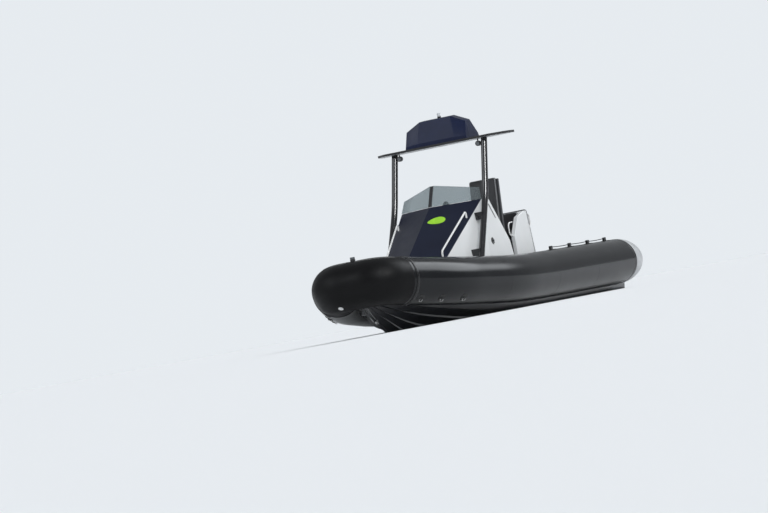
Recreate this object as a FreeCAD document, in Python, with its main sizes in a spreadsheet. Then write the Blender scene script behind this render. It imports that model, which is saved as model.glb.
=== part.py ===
import FreeCAD, Part
import Sketcher
import math
import os
import re
from types import SimpleNamespace

# Rigid inflatable boat with a closed bow collar, a wedge console, a raked arch and one stern drive.
# Frame: origin on the waterline below the transom's centre, +X forward, +Y to port, +Z up. Millimetres.

Vector = FreeCAD.Vector
doc = FreeCAD.newDocument("RibBoat")

# Driving sizes. Columns: alias, value, what it sets.
SIZE_TABLE = [
    ("TubeRadius", 340, "radius of the inflated collar"),
    ("CollarHalfBeam", 1081, "centreline to the axis of a side tube"),
    ("CollarHeight", 420, "axis of the side tubes over the waterline"),
    ("BowReach", 7244, "transom to the collar's axis at the bow"),
    ("BowTaper", 3576, "length over which the collar closes to the bow"),
    ("SheerRise", 304, "how far the collar's axis climbs to the bow"),
    ("SheerRun", 80, "how far aft of the bow's taper the collar starts to climb"),
    ("TubeStart", 320, "transom to the aft end of the side tubes"),
    ("ConeLength", 720, "length of a tube's end cone"),
    ("ConeEndRadius", 120, "radius of a cone's rounded tip"),
    ("SeatGap", 0.3, "gap between pieces that are fastened to each other"),
    ("CollarGap", 0.8, "gap between the collar and the hull"),
    ("StemBack", 184, "head of the stem behind the collar's axis"),
    ("KeelDepth", 420, "keel under the waterline, aft"),
    ("ChineHalfBeam", 1000, "centreline to the chine, aft"),
    ("DeckHeight", 300, "cockpit sole over the waterline"),
    ("StrakeWidth", 48, "flat of a lifting strake"),
    ("ChineFlat", 70, "flat of the chine"),
    ("WellLength", 1050, "engine well, fore and aft"),
    ("WellWidth", 860, "engine well, across"),
    ("WellDepth", 430, "engine well under the sole"),
    ("WellStart", 560, "transom to the engine well"),
    ("EngineGap", 60, "space round the engine in its well"),
    ("EngineHeight", 720, "height of the engine"),
    ("CasingWall", 35, "wall of the engine casing"),
    ("CasingHeight", 370, "engine casing over the sole"),
    ("CasingMargin", 120, "casing's reach past the well"),
    ("HatchThick", 32, "thickness of the engine hatch"),
    ("PadThick", 70, "thickness of the hatch pad"),
    ("PadMargin", 60, "edge of the hatch left round its pad"),
    ("LidGap", 5, "gap between a lid and what it lies on"),
    ("ConsoleHalfWidth", 735, "half width of the console at the sole"),
    ("ConsoleLean", 0.07, "how far the console's sides lean in, per unit of height"),
    ("ConsoleTop", 1645, "upper edge of the console over the waterline"),
    ("ConsoleNose", 5950, "transom to the console's foremost point"),
    ("ConsoleNoseHeight", 620, "height of the nose's upper edge"),
    ("ConsoleAft", 3220, "transom to the console's aft edge"),
    ("CockpitHalfWidth", 590, "half width between the console's sides"),
    ("BulkheadPlace", 4050, "transom to the cuddy's bulkhead"),
    ("DashFoot", 1180, "lower edge of the dash"),
    ("DashHead", 1560, "upper edge of the dash"),
    ("DashDepth", 150, "how far the dash stands out of the bulkhead"),
    ("BulkheadThick", 50, "thickness of the cuddy's bulkhead"),
    ("CuddyHalfWidth", 420, "half width of the space in the cuddy"),
    ("DoorWidth", 440, "width of the cuddy door"),
    ("DoorHeight", 700, "height of the cuddy door"),
    ("DoorThick", 26, "thickness of the cuddy door"),
    ("DoorGap", 8, "gap round the cuddy door"),
    ("DoorSill", 60, "height of the door's sill over the sole"),
    ("DoorEdge", 470, "centreline to the door's hinged edge"),
    ("HingeHeight", 60, "height of a door hinge between its lugs"),
    ("HingeLug", 8, "thickness of a hinge lug"),
    ("CoverThick", 12, "thickness of the dark cover on the console"),
    ("GlassThick", 8, "thickness of the windscreen"),
    ("ScreenHeight", 300, "rise of the windscreen at its middle"),
    ("PostWidth", 46, "width of the windscreen's middle post"),
    ("WheelRadius", 175, "radius of the steering wheel"),
    ("WheelRim", 15, "radius of the steering wheel's rim"),
    ("WheelPlace", 380, "centreline to the steering wheel's hub"),
    ("SeatSpan", 460, "width of a crew seat"),
    ("SeatPlace", 340, "centreline to the middle of a crew seat"),
    ("SeatTop", 1950, "top of the helm seat's head rest"),
    ("BenchHalfWidth", 690, "half width of the bench"),
    ("BenchWing", 60, "thickness of the bench's wings"),
    ("LegRadius", 46, "radius of an arch leg"),
    ("LegPlace", 745, "centreline to an arch leg at its foot"),
    ("WingHeight", 2540, "underside of the arch's wing"),
    ("WingThick", 34, "thickness of the arch's wing"),
    ("WingHalfSpan", 860, "half width of the wing's flat middle"),
    ("WingFront", 3740, "transom to the wing's front edge"),
    ("WingChord", 500, "wing, fore and aft"),
    ("PodHeight", 380, "height of the pod on the wing"),
    ("RailRadius", 14, "radius of the hand rails"),
    ("DriveHeight", 40, "height of the drive's tilt axis"),
    ("DriveReach", 170, "transom to the drive's steering axis"),
    ("ShaftDepth", 420, "propeller shaft under the tilt axis"),
    ("PropellerRadius", 195, "radius of the propellers"),
    ("LockerTop", 670, "rim of the bow locker over the waterline"),
    ("LockerLength", 530, "bow locker, fore and aft"),
    ("LockerAft", 340, "half width of the bow locker's aft end"),
    ("LockerFront", 190, "half width of the bow locker's front end"),
    ("LockerBack", 500, "front of the bow locker behind the stem's head"),
    ("LockerWall", 36, "wall of the bow locker"),
    ("LidEdge", 20, "how far the locker's lid reaches past its rim"),
    ("LidThick", 26, "thickness of the locker's lid"),
    ("PinRadius", 4, "radius of a hinge pin"),
    ("PinGap", 0.05, "running clearance of a hinge pin"),
    ("KnuckleRadius", 8, "radius of a knuckle on the hatch and the lid"),
    ("HingeReach", 12, "hinge axis of the hatch and the lid, off the wall that carries it"),
    ("EyeRadius", 38, "radius of the bow eye"),
    ("EyeBore", 16, "radius of the bow eye's hole"),
    ("EyeThick", 16, "thickness of the bow eye"),
]

sheet = doc.addObject("Spreadsheet::Sheet", "Sizes")
for row, (alias, value, meaning) in enumerate(SIZE_TABLE, start=1):
    sheet.set("A%d" % row, meaning)
    sheet.set("B%d" % row, str(value))
    sheet.setAlias("B%d" % row, alias)
doc.recompute()
dim = SimpleNamespace(**{alias: float(sheet.get(alias)) for alias, value, meaning in SIZE_TABLE})
dim.SheerLength = dim.BowTaper + dim.SheerRun
dim.HullLength = dim.BowReach - dim.StemBack

nodes = {}


def linked(text):
    """Turns the aliases in a formula into references to the sheet."""
    return re.sub(r"\b([A-Z][A-Za-z]+)\b", r"Sizes.\1", str(text))


def bind(item, **formulas):
    """Binds properties of an object to formulas in the sheet's names."""
    for name, text in formulas.items():
        item.setExpression(name.replace("__", "."), linked(text))


def keep(node, item):
    """Marks an object as a sub-part of the boat and gives it its label."""
    item.Label = node
    nodes[node] = item
    return item


def block(name, low, span):
    """A rectangular block from the formulas of its low corner and its three lengths."""
    item = doc.addObject("Part::Box", name)
    bind(item, Length=span[0], Width=span[1], Height=span[2])
    bind(item, Placement__Base__x=low[0], Placement__Base__y=low[1], Placement__Base__z=low[2])
    return item


def rod(name, radius, length, start, direction):
    """A round bar. Radius and length are formulas, start and direction are vectors."""
    item = doc.addObject("Part::Cylinder", name)
    bind(item, Radius=radius, Height=length)
    item.Placement = FreeCAD.Placement(start, FreeCAD.Rotation(Vector(0, 0, 1), direction))
    return item


def cut(name, base, tool):
    item = doc.addObject("Part::Cut", name)
    item.Base = base
    item.Tool = tool
    return item


def fuse(name, items):
    item = doc.addObject("Part::MultiFuse", name)
    item.Shapes = items
    return item


def group(name, items):
    """Like pieces that don't touch, kept together as one sub-part."""
    item = doc.addObject("Part::Compound", name)
    item.Links = items
    return item


def mirror(name, source):
    """The starboard twin of a port piece."""
    item = doc.addObject("Part::Mirroring", name)
    item.Source = source
    item.Normal = Vector(0, 1, 0)
    return item


def feature(name, shape):
    item = doc.addObject("Part::Feature", name)
    item.Shape = shape
    return item


def profile(body, name, plane, points, offset=0):
    """A closed sketch of straight lines in a body. Each point is a pair of formulas."""
    sketch = body.newObject("Sketcher::SketchObject", name)
    base = [f for f in body.Origin.OriginFeatures if f.Role == plane][0]
    sketch.AttachmentSupport = [(base, "")]
    sketch.MapMode = "FlatFace"
    sketch.setExpression("AttachmentOffset.Base.z", linked(offset))
    count = len(points)
    ring = [2 * math.pi * i / count for i in range(count)]
    start = [Vector(math.cos(turn), math.sin(turn), 0) for turn in ring]
    for i in range(count):
        sketch.addGeometry(Part.LineSegment(start[i], start[(i + 1) % count]), False)
    for i in range(count):
        sketch.addConstraint(Sketcher.Constraint("Coincident", i, 2, (i + 1) % count, 1))
    for i, (across, up) in enumerate(points):
        for kind, text in (("DistanceX", across), ("DistanceY", up)):
            index = sketch.addConstraint(Sketcher.Constraint(kind, -1, 1, i, 1, 1.0 + i))
            sketch.setExpression("Constraints[%d]" % index, linked(text))
    return sketch


def prism(name, plane, points, low, span):
    """A profile padded along the normal of its plane, from the formula low over the formula span."""
    body = doc.addObject("PartDesign::Body", name)
    sketch = profile(body, name + "Sketch", plane, points, low)
    pad = body.newObject("PartDesign::Pad", name + "Pad")
    pad.Profile = sketch
    pad.setExpression("Length", linked(span))
    sketch.Visibility = False
    return body


def side_prism(name, points, half_width):
    """A profile in the side view (x, z), padded to both sides of the centreline."""
    body = prism(name, "XZ_Plane", points, "-(%s)" % half_width, "2 * (%s)" % half_width)
    return body


def polyhedron(name, corners, faces):
    """A solid with flat faces. corners is a table by name, faces are words of corner names."""
    made = []
    for face in faces:
        ring = [corners[key] for key in face.split()]
        made.append(Part.Face(Part.makePolygon(ring + ring[:1])))
    return feature(name, Part.Solid(Part.Shell(made)))


def rounded_path(points, share=0.499):
    """Straight runs joined by arcs that are tangent to both runs at each inner point."""
    edges = []
    here = points[0]
    for before, corner, after in zip(points, points[1:], points[2:]):
        into = (before - corner)
        out = (after - corner)
        reach = share * min(into.Length, out.Length)
        into.normalize()
        out.normalize()
        first = corner + into * reach
        last = corner + out * reach
        half = into.getAngle(out) / 2
        radius = reach * math.tan(half)
        inward = (into + out).normalize()
        middle = corner + inward * (radius / math.sin(half) - radius)
        if (first - here).Length > 1.0:
            edges.append(Part.LineSegment(here, first).toShape())
        edges.append(Part.Arc(first, middle, last).toShape())
        here = last
    edges.append(Part.LineSegment(here, points[-1]).toShape())
    return edges


def pipe(name, edges, radius):
    """A round bar along a smooth path. radius is a formula."""
    path = feature(name + "Path", Part.Wire(edges))
    ring = doc.addObject("Part::Circle", name + "Ring")
    bind(ring, Radius=radius)
    start = edges[0]
    heading = start.tangentAt(start.FirstParameter)
    ring.Placement = FreeCAD.Placement(start.valueAt(start.FirstParameter),
                                       FreeCAD.Rotation(Vector(0, 0, 1), heading))
    sweep = doc.addObject("Part::Sweep", name)
    sweep.Sections = [ring]
    sweep.Spine = (path, ["Edge%d" % (i + 1) for i in range(len(edges))])
    sweep.Solid = True
    sweep.Frenet = False
    return sweep


# The collar's axis

def sheer(x):
    """Height of the collar's axis over the waterline at a distance from the transom."""
    part = max(0.0, x - (dim.BowReach - dim.SheerLength)) / dim.SheerLength
    return dim.CollarHeight + dim.SheerRise * part ** 2


def collar_side(x):
    """Half beam of the collar's axis at a distance from the transom."""
    part = max(0.0, x - (dim.BowReach - dim.BowTaper)) / dim.BowTaper
    return dim.CollarHalfBeam * math.sqrt(max(0.0, 1 - part ** 2))


# Angles on the bow's ellipse at which the runs of the collar's axis touch it.
TOUCH_ANGLES = (0, 36, 62, 90)


def collar_corners():
    """Corners of the collar's axis on the port side, from the bow's middle to the tube's end."""
    shoulder = dim.BowReach - dim.BowTaper
    corners = [Vector(dim.BowReach, 0, sheer(dim.BowReach))]
    for low, high in zip(TOUCH_ANGLES, TOUCH_ANGLES[1:]):
        middle = math.radians((low + high) / 2)
        half = math.radians((high - low) / 2)
        x = shoulder + dim.BowTaper * math.cos(middle) / math.cos(half)
        y = dim.CollarHalfBeam * math.sin(middle) / math.cos(half)
        corners.append(Vector(x, y, sheer(min(x, dim.BowReach))))
    level_start = dim.BowReach - dim.SheerLength
    corners.append(Vector(level_start, dim.CollarHalfBeam, dim.CollarHeight))
    corners.append(Vector(dim.TubeStart, dim.CollarHalfBeam, dim.CollarHeight))
    return corners


def flip(point):
    return Vector(point.x, -point.y, point.z)


port_corners = collar_corners()
nose_corner = port_corners[1]
nose_reach = abs(nose_corner.y)
nose_run = (port_corners[2] - nose_corner).normalize()
seam = nose_corner + nose_run * nose_reach


def collar_edges():
    """The collar's axis in two parts: the nose between its seams, and the port side aft of its seam."""
    level = nose_corner.z
    into = Vector(0, -1, 0)
    half = into.getAngle(nose_run) / 2
    radius = nose_reach * math.tan(half)
    inward = (into + nose_run).normalize()
    middle = nose_corner + inward * (radius / math.sin(half) - radius)
    stem = Vector(dim.BowReach, 0, level)
    port_arc = Part.Arc(stem, middle, seam)
    starboard_arc = Part.Arc(flip(seam), flip(middle), stem)
    nose = [starboard_arc.toShape(), port_arc.toShape()]
    side = rounded_path([seam] + port_corners[2:])
    return nose, side


nose_edges, side_edges = collar_edges()


# Collar

keep("bow_tube", pipe("BowTube", nose_edges, "TubeRadius"))
port_tube = keep("port_tube", pipe("PortTube", side_edges, "TubeRadius"))
keep("starboard_tube", mirror("StarboardTube", port_tube))


def tube_cone():
    """The stiff cone that closes a side tube behind the transom."""
    body = doc.addObject("PartDesign::Body", "PortCone")
    sketch = profile(body, "PortConeSketch", "XZ_Plane", [
        ("TubeStart - SeatGap", "0"),
        ("TubeStart - SeatGap", "TubeRadius"),
        ("TubeStart - ConeLength * 0.35", "TubeRadius * 0.93"),
        ("TubeStart - ConeLength * 0.7", "TubeRadius * 0.71"),
        ("TubeStart - ConeLength * 0.93", "ConeEndRadius * 1.35"),
        ("TubeStart - ConeLength", "ConeEndRadius * 0.7"),
        ("TubeStart - ConeLength", "0"),
    ])
    turn = body.newObject("PartDesign::Revolution", "PortConeTurn")
    turn.Profile = sketch
    turn.ReferenceAxis = (sketch, ["H_Axis"])
    turn.Angle = 360
    bind(body, Placement__Base__y="CollarHalfBeam", Placement__Base__z="CollarHeight")
    return body


port_cone = keep("port_cone", tube_cone())
keep("starboard_cone", mirror("StarboardCone", port_cone))


# Hull

# Stations of the hull from the transom to the stem's head.
# Columns: place as a share of HullLength, rise of the keel, half beam of the chine as a share
# of ChineHalfBeam, height of the chine over the waterline, rise of the deck.
STATIONS = [
    (0.000, 0, 1.00, 0, 0),
    (0.180, 0, 1.00, 0, 0),
    (0.360, 0, 1.00, 0, 0),
    (0.520, 5, 0.99, 12, 0),
    (0.640, 18, 0.93, 55, 0),
    (0.740, 52, 0.79, 135, 0),
    (0.800, 92, 0.66, 205, 0),
    (0.850, 155, 0.53, 270, 0),
    (0.890, 272, 0.40, 325, 110),
    (0.940, 490, 0.27, 385, 180),
    (0.975, 650, 0.16, 440, 230),
    (1.000, 820, 0.07, 475, 260),
]
# Lifting strakes of each side, as shares of the half beam of the chine.
STRAKE_SHARES = (0.27, 0.50, 0.73)


def hull_section(place, keel_rise, chine_share, chine_height, deck_rise):
    """One closed cross-section of the hull with its strakes, chine and the seat of the collar."""
    x = place * dim.HullLength
    keel = -dim.KeelDepth + keel_rise
    half_beam = chine_share * dim.ChineHalfBeam
    size = max(0.12, chine_share)
    flat = dim.ChineFlat * size
    slope = (chine_height - keel) / half_beam
    side = [(0.0, keel)]
    for share in STRAKE_SHARES:
        y = share * half_beam
        width = dim.StrakeWidth * size
        side.append((y, keel + slope * y))
        side.append((y + width, keel + slope * y))
        side.append((y + width, keel + slope * (y + width)))
    side.append((half_beam - flat, keel + slope * (half_beam - flat)))
    side.append((half_beam, keel + slope * (half_beam - flat)))
    axis_y, axis_z = collar_side(x), sheer(x)
    deck = dim.DeckHeight + deck_rise
    out, up = axis_y - half_beam, axis_z - chine_height
    # The topside climbs from the chine into the tube, and stays under the deck's edge.
    climb = min(1 - 0.8 * dim.TubeRadius / math.hypot(out, up), 0.6 * (deck - chine_height) / up)
    side.append((half_beam + out * climb, chine_height + up * climb))
    side.append((axis_y - 0.5 * dim.TubeRadius, deck))
    port = [Vector(x, y, z) for y, z in side]
    starboard = [Vector(x, -y, z) for y, z in reversed(side[1:])]
    return Part.makePolygon(port + starboard + port[:1])


def hull_shape():
    """The deep-V hull: a loft through its stations, seated in the collar, with the engine's well."""
    wires = [feature("Station%d" % i, hull_section(*row)) for i, row in enumerate(STATIONS)]
    loft = doc.addObject("Part::Loft", "HullLoft")
    loft.Sections = wires
    loft.Solid = True
    loft.Ruled = True
    deck_tool = group("DeckTool", [loft])
    deck_tool.Placement.Base.z = dim.SeatGap
    stem_tool = group("StemTool", [loft])
    stem_tool.Placement.Base.z = -dim.SeatGap
    nose_tool = pipe("NoseTool", nose_edges, "TubeRadius + CollarGap")
    side_tool = pipe("SideTool", side_edges, "TubeRadius + CollarGap")
    tail = rod("TailTool", "TubeRadius + CollarGap", "TubeStart + 50",
               Vector(-50, dim.CollarHalfBeam, dim.CollarHeight), Vector(1, 0, 0))
    well = block("EngineWell", ("WellStart", "-WellWidth / 2", "DeckHeight - WellDepth"),
                 ("WellLength", "WellWidth", "WellDepth + 10"))
    shape = loft
    tools = [nose_tool, side_tool, mirror("SideToolTwin", side_tool),
             tail, mirror("TailToolTwin", tail), well]
    for i, tool in enumerate(tools):
        shape = cut("HullCut%d" % i, shape, tool)
    return shape, deck_tool, stem_tool


hull, deck_tool, stem_tool = hull_shape()
keep("hull", hull)


# Hinges with a level axis across the boat

def level_lugs(name, places, toward):
    """Lugs with their pin at each place. toward is the way along x to the wall that carries them."""
    pieces = []
    across = Vector(0, 1, 0)
    for i, place in enumerate(places):
        start = place - across * dim.HingeHeight / 2
        pieces.append(rod("%sPin%d" % (name, i), "PinRadius", "HingeHeight", start, across))
        for j, shift in enumerate((-dim.HingeLug, dim.HingeHeight)):
            disc_start = start + across * shift
            pieces.append(rod("%s%d%d" % (name, i, j), "KnuckleRadius", "HingeLug", disc_start, across))
            reach = dim.HingeReach + 4
            low_x = place.x if toward > 0 else place.x - reach
            pieces.append(block("%sFoot%d%d" % (name, i, j),
                                (low_x, disc_start.y, place.z - dim.KnuckleRadius),
                                (reach, "HingeLug", "KnuckleRadius - SeatGap")))
    return pieces


def level_leaf(name, plate, places, toward, underside):
    """A hatch or lid with a knuckle at each place, bored for the pin, and a strap to the plate."""
    pieces = [plate]
    bores = []
    across = Vector(0, 1, 0)
    for i, place in enumerate(places):
        start = place - across * (dim.HingeHeight / 2 - 1)
        width = dim.HingeHeight - 2
        pieces.append(rod("%sKnuckle%d" % (name, i), "KnuckleRadius", width, start, across))
        low_z, high_z = sorted((place.z, underside + 4))
        low_x = place.x - 3 if toward > 0 else place.x - dim.HingeReach - 8
        pieces.append(block("%sStrap%d" % (name, i), (low_x, start.y, low_z),
                            (dim.HingeReach + 11 if toward < 0 else 6, width, high_z - low_z)))
        bores.append(rod("%sBore%d" % (name, i), "PinRadius + PinGap", "HingeHeight + 4",
                         start - across * 3, across))
    return cut(name, fuse(name + "Whole", pieces), fuse(name + "Bores", bores))


# Engine, its casing and hatch

keep("engine", block("Engine", ("WellStart + EngineGap", "-WellWidth / 2 + EngineGap",
                                "DeckHeight - WellDepth"),
                     ("WellLength - 2 * EngineGap", "WellWidth - 2 * EngineGap", "EngineHeight")))


def engine_casing():
    outer = block("CasingOuter",
                  ("WellStart - CasingMargin", "-WellWidth / 2 - CasingMargin", "DeckHeight"),
                  ("WellLength + 2 * CasingMargin", "WellWidth + 2 * CasingMargin", "CasingHeight"))
    inner = block("CasingInner",
                  ("WellStart - CasingMargin + CasingWall",
                   "-WellWidth / 2 - CasingMargin + CasingWall", "DeckHeight - 10"),
                  ("WellLength + 2 * CasingMargin - 2 * CasingWall",
                   "WellWidth + 2 * CasingMargin - 2 * CasingWall", "CasingHeight + 20"))
    return cut("Casing", outer, inner)


hatch_low = "DeckHeight + CasingHeight + SeatGap"
hatch_hinges = [Vector(dim.WellStart + dim.WellLength + dim.CasingMargin + dim.HingeReach,
                       side * dim.WellWidth * 0.35, dim.DeckHeight + dim.CasingHeight + dim.SeatGap)
                for side in (-1, 1)]
keep("engine_casing", fuse("CasingWhole", [engine_casing()] + level_lugs("HatchLug", hatch_hinges, -1)))
hatch_plate = block("HatchPlate", ("WellStart - CasingMargin", "-WellWidth / 2 - CasingMargin", hatch_low),
                    ("WellLength + 2 * CasingMargin", "WellWidth + 2 * CasingMargin", "HatchThick"))
keep("engine_hatch", level_leaf("Hatch", hatch_plate, hatch_hinges, -1, hatch_hinges[0].z + 4))
keep("hatch_pad", block("HatchPad", ("WellStart - CasingMargin + PadMargin",
                                     "-WellWidth / 2 - CasingMargin + PadMargin",
                                     hatch_low + " + HatchThick + SeatGap"),
                        ("WellLength + 2 * CasingMargin - 2 * PadMargin",
                         "WellWidth + 2 * CasingMargin - 2 * PadMargin", "PadThick")))


# Console

def console_half_width(z):
    return dim.ConsoleHalfWidth - dim.ConsoleLean * (z - dim.DeckHeight)


def console_corners():
    """Corners of the console's outside. P and S are the port and starboard twins."""
    deck = dim.DeckHeight
    nose = dim.ConsoleNose
    lip = dim.ConsoleNoseHeight
    top = dim.ConsoleTop
    port = {
        "a": Vector(nose - 300, 450, deck),
        "b": Vector(nose - 300, 450, lip),
        "c": Vector(nose - 2000, console_half_width(top), top),
        "d": Vector(nose - 1750, dim.ConsoleHalfWidth, deck),
        "e": Vector(dim.ConsoleAft, dim.ConsoleHalfWidth, deck),
        "f": Vector(dim.ConsoleAft + 60, console_half_width(1000), 1000),
        "g": Vector(dim.ConsoleAft + 240, console_half_width(1295), 1295),
        "h": Vector(dim.ConsoleAft + 480, console_half_width(1670), 1670),
    }
    corners = {"noseLow": Vector(nose, 0, deck), "noseTop": Vector(nose, 0, lip),
               "peak": Vector(nose - 1590, 0, top + 10)}
    for key, point in port.items():
        corners["P" + key] = point
        corners["S" + key] = flip(point)
    return corners


# Faces of the console's outside, as rings of corner names. X stands for P and then for S.
CONSOLE_SIDE_FACES = (
    "noseLow Xa Xb noseTop",
    "noseTop Xb Xc",
    "noseTop Xc peak",
    "Xa Xd Xb",
    "Xb Xd Xc",
    "Xd Xe Xf",
    "Xd Xf Xg",
    "Xd Xg Xh",
    "Xd Xh Xc",
)
CONSOLE_MIDDLE_FACES = (
    "noseLow Pa Pd Pe Se Sd Sa",
    "Pe Pf Sf Se",
    "Pf Pg Sg Sf",
    "Pg Ph Sh Sg",
    "Ph Pc Sc Sh",
    "Pc peak Sc",
)

corner = console_corners()


def console_shape():
    faces = list(CONSOLE_MIDDLE_FACES)
    for side in "PS":
        faces += [ring.replace("X", side) for ring in CONSOLE_SIDE_FACES]
    outer = polyhedron("ConsoleOuter", corner, faces)
    grown = group("ConsoleTool", [outer])
    grown.Placement.Base.y = dim.SeatGap
    raised = group("CoverTool", [outer])
    raised.Placement.Base.z = dim.CoverThick + 2 * dim.SeatGap
    cockpit = side_prism("Cockpit", [
        ("ConsoleAft - 500", "DeckHeight - 10"),
        ("BulkheadPlace", "DeckHeight - 10"),
        ("BulkheadPlace", "DashFoot - 60"),
        ("BulkheadPlace - DashDepth", "DashFoot"),
        ("BulkheadPlace + 10", "DashHead"),
        ("BulkheadPlace + 10", "ConsoleTop + 300"),
        ("ConsoleAft - 500", "ConsoleTop + 300"),
    ], "CockpitHalfWidth")
    cuddy = side_prism("Cuddy", [
        ("BulkheadPlace + BulkheadThick", "DeckHeight - 10"),
        ("ConsoleNose - 350", "DeckHeight - 10"),
        ("ConsoleNose - 350", "ConsoleNoseHeight - 60"),
        ("ConsoleNose - 1680", "ConsoleTop - 190"),
        ("BulkheadPlace + BulkheadThick", "ConsoleTop - 190"),
    ], "CuddyHalfWidth")
    doorway = block("Doorway", ("BulkheadPlace - 20", "-DoorEdge", "DeckHeight + DoorSill"),
                    ("BulkheadThick + 40", "DoorWidth", "DoorHeight"))
    shape = cut("ConsoleCut1", outer, cockpit)
    shape = cut("ConsoleCut2", shape, cuddy)
    return cut("ConsoleCut3", shape, doorway), grown, raised


hinge_line = Vector(dim.BulkheadPlace - 14, -dim.DoorEdge - 2, 0)
hinge_heights = [dim.DeckHeight + dim.DoorSill + dim.DoorHeight * part for part in (0.2, 0.8)]


def hinge_lugs():
    """Two pairs of lugs with their pins, on the bulkhead beside the doorway."""
    pieces = []
    for i, z in enumerate(hinge_heights):
        pieces.append(rod("HingePin%d" % i, "4", "HingeHeight", Vector(hinge_line.x, hinge_line.y, z),
                          Vector(0, 0, 1)))
        for j, shift in enumerate((-dim.HingeLug, dim.HingeHeight)):
            lug = block("HingeLug%d%d" % (i, j), (hinge_line.x - 9, hinge_line.y - 30, z + shift),
                        (24, 39, "HingeLug"))
            pieces.append(lug)
    return pieces


console_body, console_tool, cover_tool = console_shape()
keep("console", fuse("Console", [console_body] + hinge_lugs()))


def cuddy_door():
    """The door's leaf with a knuckle at each hinge."""
    leaf = block("DoorLeaf", ("BulkheadPlace + 4", "-DoorEdge + DoorGap",
                              "DeckHeight + DoorSill + DoorGap"),
                 ("DoorThick", "DoorWidth - 2 * DoorGap", "DoorHeight - 2 * DoorGap"))
    pieces = [leaf]
    bores = []
    for i, z in enumerate(hinge_heights):
        low = Vector(hinge_line.x, hinge_line.y, z + 1)
        pieces.append(rod("Knuckle%d" % i, "9", "HingeHeight - 2", low, Vector(0, 0, 1)))
        pieces.append(block("Strap%d" % i, (hinge_line.x - 5, hinge_line.y + 2, z + 1),
                            (5, 70, "HingeHeight - 2")))
        pieces.append(block("StrapFoot%d" % i, (hinge_line.x - 5, hinge_line.y + 16, z + 1),
                            (24, 56, "HingeHeight - 2")))
        bores.append(rod("KnuckleBore%d" % i, "4.05", "HingeHeight + 4", low - Vector(0, 0, 3),
                         Vector(0, 0, 1)))
    return cut("CuddyDoor", fuse("DoorWhole", pieces), fuse("DoorBores", bores))


keep("cuddy_door", cuddy_door())


def front_cover():
    """Both halves of the cover, each a thin slab on its two facets."""
    halves = []
    lift = Vector(0, 0, dim.SeatGap)
    for side in "PS":
        ring = [corner["noseTop"], corner[side + "b"], corner[side + "c"], corner["peak"]]
        slabs = []
        for i, names in enumerate(((0, 1, 2), (0, 2, 3))):
            loop = [ring[k] + lift for k in names]
            face = Part.Face(Part.makePolygon(loop + loop[:1]))
            slabs.append(face.extrude(Vector(0, 0, dim.CoverThick)))
        halves.append(slabs[0].fuse(slabs[1]))
    return feature("FrontCover", halves[0].fuse(halves[1]).removeSplitter())


keep("console_cover", front_cover())


# Windscreen

screen_rake = Vector(-197, 0, dim.ScreenHeight)
screen_lift = Vector(0, 0, dim.CoverThick + 2 * dim.SeatGap)
screen_foot = corner["peak"] + screen_lift
screen_end = corner["Pc"] + screen_lift


def windscreen_pane():
    """The port pane: its foot on the console's peak line, its top raked aft and falling outboard."""
    along = (screen_end - screen_foot).normalize()
    inner_foot = screen_foot + along * (dim.PostWidth / 2 / abs(along.y) + 1)
    inner_top = inner_foot + screen_rake
    normal = along.cross(screen_rake).normalize()
    rise = Vector(-70, -20, dim.ScreenHeight * 0.6)
    rise = rise - normal * rise.dot(normal)
    outer_top = screen_end + rise
    loop = [inner_foot, screen_end, outer_top, inner_top]
    face = Part.Face(Part.makePolygon(loop + loop[:1]))
    return feature("PortPane", face.extrude(normal * dim.GlassThick))


port_pane = keep("windscreen_port", windscreen_pane())
keep("windscreen_starboard", mirror("StarboardPane", port_pane))


def windscreen_post():
    half = dim.PostWidth / 2
    foot = screen_foot
    loop = [foot + Vector(0, -half, 0), foot + Vector(0, half, 0),
            foot + Vector(0, half, 0) + screen_rake, foot + Vector(0, -half, 0) + screen_rake]
    face = Part.Face(Part.makePolygon(loop + loop[:1]))
    return feature("ScreenPost", face.extrude(Vector(-30, 0, 0)))


keep("windscreen_post", windscreen_post())


# Dash, steering wheel and throttle

dash_foot = Vector(dim.BulkheadPlace - dim.DashDepth, 0, dim.DashFoot)
dash_head = Vector(dim.BulkheadPlace + 10, 0, dim.DashHead)
dash_up = (dash_head - dash_foot).normalize()
dash_out = Vector(-dash_up.z, 0, dash_up.x)


def on_dash(y, up, out):
    """A point by its place across, up and out of the dash's sloping face."""
    return dash_foot + Vector(0, y, 0) + dash_up * up + dash_out * out


def dash_slab(name, y, width, low, high, base, thickness):
    """A plate that lies on the dash."""
    loop = [on_dash(y - width / 2, low, base), on_dash(y + width / 2, low, base),
            on_dash(y + width / 2, high, base), on_dash(y - width / 2, high, base)]
    face = Part.Face(Part.makePolygon(loop + loop[:1]))
    return feature(name, face.extrude(dash_out * thickness))


keep("instrument_panel", dash_slab("InstrumentPanel", 0, 1040, 25, 385, dim.SeatGap, 14))
wheel_hub = on_dash(dim.WheelPlace, 190, 110)
keep("wheel_column", rod("WheelColumn", "28", "78", on_dash(dim.WheelPlace, 190, 15), dash_out))


def steering_wheel():
    """A rim on three spokes with a round hub, square to the sloping dash."""
    rim = doc.addObject("Part::Torus", "WheelRimRing")
    bind(rim, Radius1="WheelRadius", Radius2="WheelRim")
    turn = FreeCAD.Rotation(Vector(0, 0, 1), dash_out)
    rim.Placement = FreeCAD.Placement(wheel_hub, turn)
    hub = rod("WheelHub", "40", "32", wheel_hub - dash_out * 16, dash_out)
    spokes = []
    for i in range(3):
        angle = math.radians(90 + 120 * i)
        reach = turn.multVec(Vector(math.cos(angle), math.sin(angle), 0))
        spokes.append(rod("Spoke%d" % i, "9", "WheelRadius", wheel_hub, reach))
    return fuse("SteeringWheel", [rim, hub] + spokes)


keep("steering_wheel", steering_wheel())


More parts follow.
